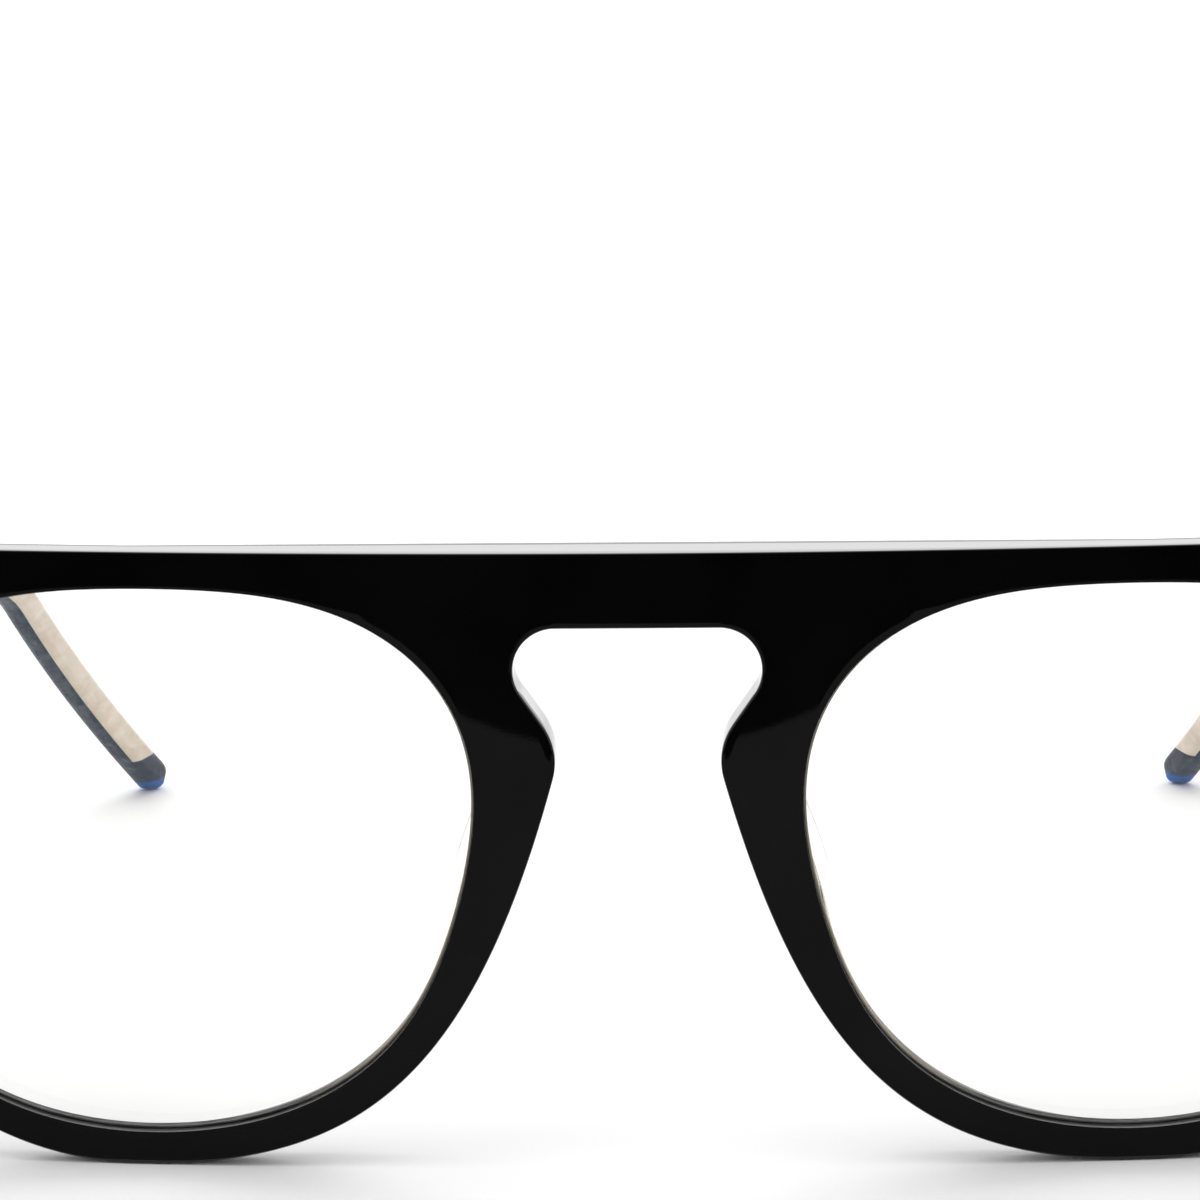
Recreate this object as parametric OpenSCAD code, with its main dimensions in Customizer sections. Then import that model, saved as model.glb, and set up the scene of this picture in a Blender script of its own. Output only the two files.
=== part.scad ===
// Full-rim acetate eyeglasses with a straight brow bar and a keyhole bridge.
// Millimetres. X runs across the face, the front faces -Y, the temples run to +Y, +Z is up.
// The glasses stand open on z = 0, on the lowest point of each rim and on the temple tips.
// Each left or right piece is drawn at +X and mirrored where its side is -1.
// Right is +X, the right-hand side for someone who looks at the front.

/* [Lenses] */
// Width of each lens opening
lens_w = 50; // [46:0.5:54]
// Height of each lens opening
lens_h = 42.5; // [38:0.5:46]
// Gap between the two lens openings
lens_gap = 25; // [23:0.5:28]
// Thickness of each lens
lens_t = 1.8; // [1.6:0.1:2]
// Radius of the front surface of each lens
lens_r = 230; // [220:5:300]
// How far the middle of each lens lies behind the front surface of the frame
lens_setback = 0; // [0:0.1:0.2]
// Height of the ridge round the lens edge
bevel_h = 0.6; // [0.4:0.1:0.9]
// Thickness of the ridge round the lens edge
bevel_t = 0.8; // [0.6:0.1:0.9]

/* [Front] */
// Thickness of the front at the bridge. Its back is flat across the middle.
front_t = 5.3; // [4.8:0.1:6]
// Thickness of the front further out, where its back follows its curve
rim_t = 3.4; // [3.4:0.1:4]
// Radius of the curve that wraps the front round the face
front_curve_r = 400; // [320:10:600]
// Height of the brow bar above each lens opening
brow_h = 2.9; // [2.4:0.1:4]
// Width of the rim under each lens opening
rim_bottom = 2.65; // [2:0.05:4]
// Width of the rim beside each lens opening
rim_side = 3.2; // [2.6:0.1:4.5]
// Width of each end piece outside the rim
end_w = 5.3; // [4.8:0.1:6.5]
// Height of each end piece
end_h = 11.5; // [11:0.1:12.5]
// Radius of the outer corners of the end pieces
end_corner_r = 2.4; // [1:0.1:3.5]
// Radius of the inside corner between end piece and rim
end_fillet_r = 2.8; // [2:0.1:4]
// Depth of the flat hinge seat behind the middle of the front surface
seat_y = 11.3; // [10.9:0.1:12.5]

/* [Nose] */
// Height of the bar over the nose
bridge_h = 5.8; // [4.5:0.1:8]
// Greatest width of the keyhole
keyhole_w = 18.9; // [17.5:0.1:20.5]
// Radius of the keyhole's upper corners
keyhole_r = 3.25; // [2:0.05:4]
// Lean of the keyhole's lower sides from vertical
keyhole_lean = 35; // [30:1:42]
// Least distance between the rims
waist_w = 12.6; // [11.5:0.1:14]
// Radius of the rim at its narrowest point
waist_r = 5; // [3:0.25:6]
// Lean of the rim just below its narrowest point
flank_lean = 15.5; // [12:0.1:20]

/* [Nose pads] */
// Length of each pad along the rim
pad_len = 23.5; // [16:0.5:25]
// Depth of each pad behind the rim
pad_depth = 6.1; // [5:0.1:6.6]
// Thickness of each pad at its rounded edge
pad_edge_t = 1.8; // [1.6:0.1:2.2]
// How far each pad's middle lies below the middle of the lens opening
pad_drop = 1; // [0.5:0.1:2]
// Lean of each pad from vertical, seen from the front
pad_lean = 17; // [16:1:22]
// How far each pad starts from the nose side of the rim
pad_inset = 1.4; // [0.8:0.1:1.6]
// Width of each pad where it is glued to the rim
pad_root_w = 3; // [2.6:0.1:3.4]
// How far each pad's edge lies outside its root
pad_splay = 1.6; // [1.2:0.1:2]

/* [Temples] */
// Length of the straight shaft from the hinge axis to the bend
shaft_len = 75.5; // [70:0.5:84]
// Fall of the shaft towards the back
shaft_slope = 9.4; // [8:0.2:10.2]
// Radius of the bend over the ear
bend_r = 28; // [22:1:36]
// Fall of the ear end
ear_slope = 34; // [31:1:42]
// Height of the temple at the hinge
temple_h_hinge = 9; // [8.4:0.1:9.6]
// Height of the temple at the bend
temple_h_bend = 3.4; // [3:0.1:6]
// Height of the temple at its rounded tip
temple_h_tip = 3; // [2.8:0.1:4.6]
// Thickness of the temple at the hinge
temple_t_hinge = 3.6; // [3.4:0.1:4]
// Thickness of the temple from the bend to the tip
temple_t_tip = 2.5; // [2.4:0.1:3]
// Share of the temple's thickness in the dark outer layer
outer_share = 0.8; // [0.7:0.01:0.8]
// Angle by which the shaft leans inwards
shaft_inward = 6.8; // [5:0.2:8]
// Radius by which the ear end curves inwards
ear_inward_r = 260; // [180:10:400]
// Height of the dark cap on the tip
tip_cap_h = 4; // [3:0.1:4.4]
// Height of the wire core
core_h = 1.6; // [1.2:0.1:1.8]
// Thickness of the wire core
core_t = 0.7; // [0.6:0.05:0.8]
// Distance along the temple from the end of its hinge leaf to the start of the core
core_start = 1.5; // [1:0.25:4]
// Distance from the tip to the end of the core
core_end = 7; // [7:0.5:12]

/* [Hinges] */
// Outer radius of the hinge barrels
barrel_r = 1.6; // [1.4:0.05:1.7]
// Height of one barrel
barrel_h = 1.4; // [1.2:0.05:1.5]
// Thickness of the hinge leaves
leaf_t = 0.9; // [0.7:0.05:1]
// Length of the temple leaf behind the hinge axis
leaf_len = 10; // [9.5:0.25:13]
// Diameter of the hinge screw
screw_d = 1.4; // [1:0.05:1.6]
// Diameter of the screw's head
screw_head_d = 2.5; // [2:0.1:3]
// Height of the screw's head
screw_head_h = 0.7; // [0.5:0.05:1]
// Width of the slot in the screw's head
screw_slot_w = 0.35; // [0.25:0.05:0.5]
// Diameter of the rivets
rivet_d = 1; // [0.8:0.05:1.2]
// Distance between the two rivets of each leaf
rivet_pitch = 3.5; // [3.2:0.1:3.8]
// Distance from the end of the temple leaf to its nearest rivet
rivet_edge = 1.7; // [1.3:0.1:2.2]
// Metal between a rivet's head and the side of the front leaf
leaf_margin = 0.1; // [0.1:0.05:0.4]
// Distance from the front leaf to the side of its block
block_margin = 0.4; // [0.2:0.1:0.8]
// Diameter of the rivets' heads
rivet_head_d = 1.6; // [1.4:0.05:1.8]
// Height of the rivets' heads
rivet_head_h = 0.35; // [0.25:0.05:0.4]
// Depth of the front's rivets in the plastic
rivet_depth = 2.2; // [1.6:0.1:2.5]
// Plastic left between a temple rivet and the outside of the temple
rivet_wall = 1.2; // [1:0.1:1.6]

/* [Clearances] */
// Clearance between parts that turn past each other
run_gap = 0.3; // [0.3:0.05:0.4]
// Clearance between neighbouring hinge barrels
barrel_gap = 0.1; // [0.06:0.02:0.15]
// Clearance round screws, rivets and the wire core
bore_gap = 0.05; // [0.03:0.01:0.08]
// Clearance round each lens in its groove
groove_gap = 0.06; // [0.04:0.01:0.1]
// Thickness of glue under the nose pads
glue_gap = 0.03; // [0.02:0.01:0.06]

/* [Hidden] */

// Radius of a lens opening in eight directions, from +X counterclockwise,
// as a share of the ellipse that has the opening's width and height
opening_share = [0.983, 1.108, 1.005, 1.108, 0.978, 0.994, 1.003, 1.005];

// How many steps the outlines and the round shapes are drawn with
opening_steps = 72;
corner_steps = 6;
keyhole_steps = 12;
rim_steps = 16;
flank_steps = 20;
pad_steps = 24;
bend_steps = 8;
tip_steps = 16;
round_fn = 48;
sphere_fn = 180;
wide_fn = 360;
wrap_fn = 720;

// How far the round tip of the temple turns to each side of its direction
tip_turn = 80;

// How far a cutting shape runs past what it cuts, and how far the rough blanks reach
through = 1;
blank_reach = 40;

// Lens and front
lens_x = lens_gap / 2 + lens_w / 2;
lens_z = rim_bottom + lens_h / 2;
front_h = rim_bottom + lens_h + brow_h;
rim_x = lens_x + lens_w / 2 + rim_side;
half_w = rim_x + end_w;
end_fillet = min(end_fillet_r, end_w - end_corner_r);
front_axis = [0, front_curve_r];
lens_turn = asin(lens_x / front_curve_r);
lens_centre = front_axis + (front_curve_r - lens_setback - lens_r) * [sin(lens_turn), -cos(lens_turn)];
groove_mid_r = lens_r - lens_t / 2;
front_start = -through;
front_end = seat_y + 2 * through;

// Rim outline: where the rim stands widest, and how far its curves reach from their ends
side_share = 0.15;
side_z = lens_z + side_share * lens_h;
foot_shift = 1.5;
foot_x = lens_x + foot_shift;
side_pull_share = 0.62;
side_foot_share = 0.54;
flank_share = 0.796;
flank_foot_share = 0.532;

// Keyhole: corner circle, then a straight side, then the rounded waist
keyhole_top = front_h - bridge_h;
keyhole_c = [keyhole_w / 2 - keyhole_r, keyhole_top - keyhole_r];
keyhole_tangent = keyhole_c + keyhole_r * [cos(keyhole_lean), -sin(keyhole_lean)];
waist_turn = keyhole_lean + flank_lean;
waist_x = waist_w / 2 - waist_r * (cos((keyhole_lean - flank_lean) / 2) / cos(waist_turn / 2) - 1);
waist_corner = [waist_x, keyhole_tangent[1] - (keyhole_tangent[0] - waist_x) / tan(keyhole_lean)];
waist_reach = waist_r * tan(waist_turn / 2);
waist_in = waist_corner + waist_reach * [sin(keyhole_lean), cos(keyhole_lean)];
waist_c = waist_in + waist_r * [cos(keyhole_lean), -sin(keyhole_lean)];
flank_top = waist_corner + waist_reach * [sin(flank_lean), -cos(flank_lean)];

// Hinge axis, from the seat on the end piece and the inner face of the temple
hinge_z = front_h - end_h / 2;
face_x = barrel_r + run_gap;
hinge_x = half_w - temple_t_hinge - face_x;
hinge_y = seat_y + leaf_t + run_gap + barrel_r;
stack_h = 5 * barrel_h;
stack_bottom = hinge_z - stack_h / 2;
front_rivet_x = hinge_x - barrel_r - run_gap - rivet_head_d / 2;
front_leaf_x = front_rivet_x - rivet_head_d / 2 - leaf_margin;
block_x = front_leaf_x - block_margin;
leaf_start = sqrt(pow(barrel_r + run_gap, 2) - pow(face_x - leaf_t, 2)) + leaf_margin;
temple_rivet_y = [leaf_len - rivet_edge - rivet_pitch, leaf_len - rivet_edge];

// Temple centre line in its own side view: shaft, bend, ear end
bend_start = shaft_len * [cos(shaft_slope), -sin(shaft_slope)] + [0, hinge_z];
bend_c = bend_start - bend_r * [sin(shaft_slope), cos(shaft_slope)];
bend_end = bend_c + bend_r * [sin(ear_slope), cos(ear_slope)];
bend_len = bend_r * (ear_slope - shaft_slope) * PI / 180;
tip_r = temple_h_tip / 2;
ear_len = (bend_end[1] - tip_r) / sin(ear_slope);
temple_len = shaft_len + bend_len + ear_len;
tip_c = bend_end + ear_len * [cos(ear_slope), -sin(ear_slope)];
curve_y = bend_start[0];
temple_front = -hinge_y + front_t;
inner_t_hinge = temple_t_hinge * (1 - outer_share);
inner_t_tip = temple_t_tip * (1 - outer_share);
temple_rivet_depth = temple_t_hinge - rivet_wall;

// Points on an arc, on a cubic curve, and a list of points mirrored in X and reversed
function arc(c, r, from, to, n) =
    [for (i = [0 : n]) c + r * [cos(from + (to - from) * i / n), sin(from + (to - from) * i / n)]];
function cubic(a, b, c, d, n) =
    [for (i = [0 : n]) let (t = i / n, u = 1 - t)
        u * u * u * a + 3 * u * u * t * b + 3 * u * t * t * c + t * t * t * d];
function mirrored(points) =
    [for (i = [len(points) - 1 : -1 : 0]) [-points[i][0], points[i][1]]];
function mix(a, b, t) = a + (b - a) * t;
function total(list, i = 0) = i < len(list) ? list[i] + total(list, i + 1) : 0;

// The opening's radius runs smoothly through its eight values, as a sum of waves.
// Each wave is 1 in its own direction and 0 in the other seven.
function wave(angle) =
    angle % 360 == 0 ? 1 : sin(4 * angle) / (8 * tan(angle / 2));
function opening_radius(angle) =
    total([for (i = [0 : 7]) opening_share[i] * wave(angle - 45 * i)]);
function opening_point(angle) =
    [lens_x + lens_w / 2 * opening_radius(angle) * cos(angle),
     lens_z + lens_h / 2 * opening_radius(angle) * sin(angle)];
function opening_normal(angle) =
    let (step = opening_point(angle + 1) - opening_point(angle - 1))
        [step[1], -step[0]] / norm(step);
function opening(grow) =
    [for (i = [0 : opening_steps - 1]) let (angle = 360 * i / opening_steps)
        opening_point(angle) + grow * opening_normal(angle)];

// Right half of the front's outline, clockwise from the brow's outer corner to the keyhole
function half_outline() = concat(
    arc([half_w - end_corner_r, front_h - end_corner_r], end_corner_r, 90, 0, corner_steps),
    arc([half_w - end_corner_r, front_h - end_h + end_corner_r], end_corner_r, 0, -90, corner_steps),
    arc([rim_x + end_fillet, front_h - end_h - end_fillet], end_fillet, 90, 180, corner_steps),
    cubic([rim_x, side_z], [rim_x, side_z * (1 - side_pull_share)],
          [mix(foot_x, rim_x, side_foot_share), 0], [foot_x, 0], rim_steps),
    cubic([foot_x, 0], [mix(foot_x, flank_top[0], flank_foot_share), 0],
          flank_top + flank_share * flank_top[1] * [sin(flank_lean), -cos(flank_lean)],
          flank_top, flank_steps),
    arc(waist_c, waist_r, 180 + flank_lean, 180 - keyhole_lean, corner_steps),
    arc(keyhole_c, keyhole_r, -keyhole_lean, 90, keyhole_steps)
);

// A point on the temple's centre line, its fall there, and the temple's half height
function line_point(s) =
    s < shaft_len ? [0, hinge_z] + s * [cos(shaft_slope), -sin(shaft_slope)]
    : s < shaft_len + bend_len ? bend_c + bend_r * [sin(line_fall(s)), cos(line_fall(s))]
    : bend_end + (s - shaft_len - bend_len) * [cos(ear_slope), -sin(ear_slope)];
function line_fall(s) =
    s < shaft_len ? shaft_slope
    : s < shaft_len + bend_len ? mix(shaft_slope, ear_slope, (s - shaft_len) / bend_len)
    : ear_slope;
function half_height(s) =
    s < shaft_len ? mix(temple_h_hinge, temple_h_bend, s / shaft_len) / 2
    : mix(temple_h_bend, temple_h_tip, (s - shaft_len) / (temple_len - shaft_len)) / 2;
function line_stations(from, to) = concat(
    [from], [for (i = [0 : bend_steps]) shaft_len + bend_len * i / bend_steps], [to]);

// Outline of a band round the centre line, with a cap of points at its far end
function band(stations, heights, cap = []) = concat(
    [for (i = [0 : len(stations) - 1]) let (s = stations[i])
        line_point(s) + heights[i] * [sin(line_fall(s)), cos(line_fall(s))]],
    cap,
    [for (i = [len(stations) - 1 : -1 : 0]) let (s = stations[i])
        line_point(s) - heights[i] * [sin(line_fall(s)), cos(line_fall(s))]]);

// Children drawn for the right side, or mirrored to the left
module on_side(side) {
    if (side > 0) children();
    else mirror([1, 0, 0]) children();
}

// An outline in X and Z made solid from before the front to the given depth in Y
module prism(points, depth) {
    translate([0, depth, 0]) rotate([90, 0, 0])
        linear_extrude(depth - front_start) polygon(points);
}

// A solid upright cylinder about the axis of the front's curve
module wrap(r) {
    translate([front_axis[0], front_axis[1], -through])
        cylinder(h = front_h + 2 * through, r = r, $fn = wrap_fn);
}

// The part of a lens opening, grown by the given amount, between two radii of the lens curve
module lens_shell(grow, outer_r, inner_r) {
    intersection() {
        prism(opening(grow), front_end);
        translate([lens_centre[0], lens_centre[1], lens_z]) difference() {
            sphere(r = outer_r, $fn = sphere_fn);
            sphere(r = inner_r, $fn = sphere_fn);
        }
    }
}

// Pins along Y behind the hinge seat, for the front leaf
module front_pins(d, from, to) {
    for (z = [-rivet_pitch / 2, rivet_pitch / 2])
        translate([front_rivet_x, to, hinge_z + z]) rotate([90, 0, 0])
            cylinder(h = to - from, d = d, $fn = round_fn);
}

// Pins along X in the temple's own frame, for the temple leaf
module temple_pins(d, from, to) {
    for (y = temple_rivet_y)
        translate([from, y, hinge_z - y * tan(shaft_slope)]) rotate([0, 90, 0])
            cylinder(h = to - from, d = d, $fn = round_fn);
}

// All the space behind the front's back and a gap: the back is flat across the middle and
// follows the front's curve further out
module behind_back(gap = 0) {
    intersection() {
        wrap(front_curve_r - rim_t - gap);
        translate([-half_w - through, front_t + gap, -2 * through])
            cube([2 * (half_w + through), front_end, front_h + 4 * through]);
    }
}

// The end block that carries the hinge: here the front keeps its full depth to the seat
module end_zone() {
    translate([block_x, front_start, front_h - end_h])
        cube([half_w, front_end - front_start, end_h + 2 * through]);
}

module front_frame() {
    color("#0b0b0d") difference() {
        intersection() {
            prism(concat(half_outline(), mirrored(half_outline())), seat_y);
            wrap(front_curve_r);
        }
        difference() {
            behind_back();
            end_zone();
            mirror([1, 0, 0]) end_zone();
        }
        for (side = [-1, 1]) on_side(side) {
            prism(opening(0), front_end);
            lens_shell(bevel_h + groove_gap, groove_mid_r + bevel_t / 2 + groove_gap,
                       groove_mid_r - bevel_t / 2 - groove_gap);
            front_pins(rivet_d + 2 * bore_gap, seat_y - rivet_depth - bore_gap, seat_y + through);
        }
    }
}

module lens(side) {
    color("#dfe6e8", 0.4) on_side(side) union() {
        lens_shell(-groove_gap, lens_r, lens_r - lens_t);
        lens_shell(bevel_h, groove_mid_r + bevel_t / 2, groove_mid_r - bevel_t / 2);
    }
}

// Pad in its own frame: X out from the nose, Y back from the rim, Z along the rim.
// Its section is a wall with a rounded edge, and seen from the side it is half an oval
// whose centre lies inside the rim. The rim's back cuts off what lies inside.
module pad_solid() {
    sink = front_t - through;
    edge_r = pad_edge_t / 2;
    root = [pad_inset, pad_inset + pad_root_w];
    edge_c = [pad_inset + pad_root_w / 2 + pad_splay, pad_depth - edge_r];
    intersection() {
        translate([0, 0, -pad_len]) linear_extrude(2 * pad_len) union() {
            polygon([[root[0], -sink], [root[1], -sink], [root[1], 0], edge_c + [edge_r, 0],
                     edge_c - [edge_r, 0], [root[0], 0]]);
            translate(edge_c) circle(r = edge_r, $fn = round_fn);
        }
        rotate([90, 0, 90]) linear_extrude(blank_reach)
            polygon([for (i = [0 : pad_steps]) let (a = 180 * i / pad_steps)
                [(pad_depth + sink) * sin(a) - sink, pad_len / 2 * cos(a)]]);
    }
}

module nose_pad(side) {
    pad_z = lens_z - pad_drop;
    flank_x = flank_top[0] + (flank_top[1] - pad_z) * tan(pad_lean);
    color("#e8ece4", 0.6) on_side(side) intersection() {
        translate([flank_x, front_t, pad_z]) rotate([0, -pad_lean, 0]) pad_solid();
        behind_back(glue_gap);
    }
}

// Barrel number n of the hinge, counted from the bottom
module barrel(n) {
    translate([0, 0, stack_bottom + n * barrel_h + barrel_gap / 2])
        cylinder(h = barrel_h - barrel_gap, r = barrel_r, $fn = round_fn);
}

module screw_hole() {
    translate([0, 0, stack_bottom - through])
        cylinder(h = stack_h + 2 * through, d = screw_d + 2 * bore_gap, $fn = round_fn);
}

module front_hinge(side) {
    color("#b9bcc0") on_side(side) difference() {
        union() {
            translate([front_leaf_x, seat_y, stack_bottom])
                cube([hinge_x + barrel_r - front_leaf_x, leaf_t, stack_h]);
            for (n = [0, 2, 4]) {
                translate([hinge_x, hinge_y, 0]) barrel(n);
                translate([hinge_x - barrel_r, seat_y, stack_bottom + n * barrel_h + barrel_gap / 2])
                    cube([2 * barrel_r, hinge_y - seat_y, barrel_h - barrel_gap]);
            }
        }
        translate([hinge_x, hinge_y, 0]) screw_hole();
        front_pins(rivet_d + 2 * bore_gap, seat_y - through, seat_y + leaf_t + through);
    }
}

module front_rivets(side) {
    color("#c9ccd0") on_side(side) {
        front_pins(rivet_d, seat_y - rivet_depth, seat_y + leaf_t);
        front_pins(rivet_head_d, seat_y + leaf_t, seat_y + leaf_t + rivet_head_h);
    }
}

module hinge_screw(side) {
    head_z = stack_bottom + stack_h;
    color("#d5d7da") on_side(side) translate([hinge_x, hinge_y, 0]) difference() {
        union() {
            translate([0, 0, stack_bottom])
                cylinder(h = stack_h, d = screw_d, $fn = round_fn);
            translate([0, 0, head_z])
                cylinder(h = screw_head_h, d = screw_head_d, $fn = round_fn);
        }
        translate([-screw_slot_w / 2, -screw_head_d, head_z + screw_head_h / 2])
            cube([screw_slot_w, 2 * screw_head_d, screw_head_h]);
    }
}

// The temple's own frame: hinge axis at X = 0 and Y = 0, shaft along Y
module temple_frame(side) {
    on_side(side) translate([hinge_x, hinge_y, 0]) rotate([0, 0, shaft_inward]) children();
}

// A layer of the temple in plan: straight and tapered to the bend, then curved inwards.
// a and b are the layer's two distances from the inner face, each at the hinge and at the tip.
module plan_layer(a, b) {
    linear_extrude(hinge_z + blank_reach) {
        polygon([[face_x + a[0], temple_front], [face_x + b[0], temple_front],
                 [face_x + b[1], curve_y], [face_x + a[1], curve_y]]);
        intersection() {
            translate([face_x - ear_inward_r, curve_y]) difference() {
                circle(r = ear_inward_r + b[1], $fn = wide_fn);
                circle(r = ear_inward_r + a[1], $fn = wide_fn);
            }
            translate([face_x - blank_reach, curve_y])
                square([2 * blank_reach, tip_c[0] + temple_h_tip - curve_y]);
        }
    }
}

// An outline in Y and Z made solid across the temple
module side_prism() {
    rotate([90, 0, 90]) translate([0, 0, -blank_reach]) linear_extrude(2 * blank_reach) children();
}

module temple_profile() {
    stations = line_stations(temple_front, temple_len);
    polygon(band(stations, [for (s = stations) half_height(s)],
        arc(tip_c, tip_r, tip_turn - ear_slope, -tip_turn - ear_slope, tip_steps)));
}

module core_profile(clearance) {
    stations = line_stations(leaf_len + core_start - clearance, temple_len - core_end + clearance);
    polygon(band(stations, [for (s = stations) core_h / 2 + clearance]));
}

// The wire core lies in a groove in the outer layer, closed by the inner layer.
// The groove is the core grown by a clearance and run out past the outer layer.
module core_solid(clearance, run_out) {
    near = [inner_t_hinge, inner_t_tip] + [bore_gap, bore_gap];
    far = near + [core_t, core_t];
    intersection() {
        side_prism() core_profile(clearance);
        plan_layer(near - [run_out, run_out], far + [clearance, clearance]);
    }
}

// Holes for the rivets of the temple leaf
module temple_rivet_holes() {
    temple_pins(rivet_d + 2 * bore_gap, face_x - through, face_x + temple_rivet_depth + bore_gap);
}

// Everything behind the butt face, which stays parallel to the hinge seat
module behind_seat() {
    difference() {
        children();
        translate([-half_w - blank_reach, front_start, -through])
            cube([2 * (half_w + blank_reach), seat_y + run_gap - front_start, front_h + blank_reach]);
    }
}

// The end of the temple that only the outer layer fills
module tip_zone() {
    translate([-blank_reach, curve_y, -through])
        cube([2 * blank_reach, temple_len, through + tip_cap_h]);
}

module temple_outer(side) {
    color("#27364a") behind_seat() temple_frame(side) difference() {
        intersection() {
            side_prism() temple_profile();
            union() {
                plan_layer([inner_t_hinge, inner_t_tip], [temple_t_hinge, temple_t_tip]);
                intersection() {
                    plan_layer([0, 0], [temple_t_hinge, temple_t_tip]);
                    tip_zone();
                }
            }
        }
        core_solid(bore_gap, through);
        temple_rivet_holes();
    }
}

module temple_inner(side) {
    color("#d9c8b4", 0.8) behind_seat() temple_frame(side) difference() {
        intersection() {
            side_prism() temple_profile();
            plan_layer([0, 0], [inner_t_hinge, inner_t_tip]);
        }
        tip_zone();
        temple_rivet_holes();
    }
}

module temple_core(side) {
    color("#c8a88a") temple_frame(side) core_solid(0, 0);
}

// The leaf follows the shaft's fall. An arm joins it to each of its two barrels.
module temple_hinge(side) {
    color("#b9bcc0") temple_frame(side) difference() {
        union() {
            translate([face_x - leaf_t, 0, 0]) rotate([90, 0, 90]) linear_extrude(leaf_t)
                polygon([for (corner = [[leaf_start, -1], [leaf_len, -1], [leaf_len, 1], [leaf_start, 1]])
                    [corner[0], hinge_z - corner[0] * tan(shaft_slope) + corner[1] * stack_h / 2]]);
            for (n = [1, 3]) {
                barrel(n);
                translate([0, -barrel_r, stack_bottom + n * barrel_h + barrel_gap / 2])
                    cube([face_x, 2 * barrel_r + leaf_t, barrel_h - barrel_gap]);
            }
        }
        screw_hole();
        temple_pins(rivet_d + 2 * bore_gap, face_x - leaf_t - through, face_x + through);
    }
}

module temple_rivets(side) {
    color("#c9ccd0") temple_frame(side) {
        temple_pins(rivet_d, face_x - leaf_t, face_x + temple_rivet_depth);
        temple_pins(rivet_head_d, face_x - leaf_t - rivet_head_h, face_x - leaf_t);
    }
}

front_frame();
lens(-1);  // lens_left
lens(1);  // lens_right
nose_pad(-1);  // nose_pad_left
nose_pad(1);  // nose_pad_right
front_hinge(-1);  // front_hinge_left
front_hinge(1);  // front_hinge_right
front_rivets(-1);  // front_rivets_left
front_rivets(1);  // front_rivets_right
hinge_screw(-1);  // hinge_screw_left
hinge_screw(1);  // hinge_screw_right
temple_hinge(-1);  // temple_hinge_left
temple_hinge(1);  // temple_hinge_right
temple_rivets(-1);  // temple_rivets_left
temple_rivets(1);  // temple_rivets_right
temple_outer(-1);  // temple_outer_left
temple_outer(1);  // temple_outer_right
temple_inner(-1);  // temple_inner_left
temple_inner(1);  // temple_inner_right
temple_core(-1);  // temple_core_left
temple_core(1);  // temple_core_right
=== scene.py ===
"""Visual model of full-rim acetate eyeglasses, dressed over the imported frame.

Lengths in the shape formulas are millimetres, and a mesh is scaled to metres when it is made.
The edge sizes among the settings and the stage's lengths are metres. Right is +X, the front
faces -Y and +Z is up. Left pieces are right ones mirrored in X."""

import math

import bmesh
import bpy
import numpy as np
from mathutils import Matrix, Vector


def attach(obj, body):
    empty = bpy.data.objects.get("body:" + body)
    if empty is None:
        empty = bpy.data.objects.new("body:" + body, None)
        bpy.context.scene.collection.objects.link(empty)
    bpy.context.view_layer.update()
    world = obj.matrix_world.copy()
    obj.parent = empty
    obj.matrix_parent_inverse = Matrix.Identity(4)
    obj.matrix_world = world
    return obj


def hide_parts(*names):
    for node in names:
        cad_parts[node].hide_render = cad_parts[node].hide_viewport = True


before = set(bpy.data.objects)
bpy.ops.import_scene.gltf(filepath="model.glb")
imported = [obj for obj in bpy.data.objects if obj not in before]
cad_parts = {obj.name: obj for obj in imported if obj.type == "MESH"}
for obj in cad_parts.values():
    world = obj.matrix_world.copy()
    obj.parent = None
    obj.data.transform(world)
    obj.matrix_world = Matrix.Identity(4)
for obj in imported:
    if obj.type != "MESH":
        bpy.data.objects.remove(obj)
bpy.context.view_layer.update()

bl_info = {
    "name": "Acetate eyeglasses",
    "version": (1, 0, 0),
    "blender": (4, 5, 0),
    "location": "3D View > Sidebar > Eyeglasses",
    "description": "Builds polished acetate eyeglasses with a flat brow and a keyhole bridge",
    "category": "Mesh",
}

# A millimetre in metres, the distance in metres under which points are welded, and the angle
# in degrees between two faces at which their edge stays sharp
MM, WELD, SHARP = 0.001, 1e-6, 35.0
MIRROR = np.array([-1, 1, 1])
SIDES = (("left", MIRROR), ("right", np.ones(3)))
ACETATE_IOR = 1.49

# Lens openings
LENS_W, LENS_H, LENS_GAP = 50.0, 42.5, 25.0
LENS_T, LENS_R, LENS_SETBACK = 1.8, 230.0, 0.0
RIDGE_H, RIDGE_T, RIDGE_TOP, GROOVE_GAP = 0.6, 0.8, 0.4, 0.06
OPENING_SHARE = (0.983, 1.108, 1.005, 1.108, 0.978, 0.994, 1.003, 1.005)

# Front
FRONT_T, RIM_T, CURVE_R, BROW_H, RIM_BOTTOM, RIM_SIDE = 5.3, 3.4, 400.0, 2.9, 2.65, 3.2
END_W, END_H, END_CORNER_R, END_FILLET_R, SEAT_Y = 5.3, 11.5, 2.4, 2.8, 11.3
BRIDGE_H, KEYHOLE_W, KEYHOLE_R, KEYHOLE_LEAN = 5.8, 18.9, 3.25, math.radians(35)
WAIST_W, WAIST_R, FLANK_LEAN = 12.6, 5.0, math.radians(15.5)
SIDE_PULL, SIDE_FOOT_PULL, FLANK_PULL, FLANK_FOOT_PULL = 0.62, 0.54, 0.796, 0.532
SIDE_SHARE, FOOT_SHIFT = 0.15, 1.5

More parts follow.
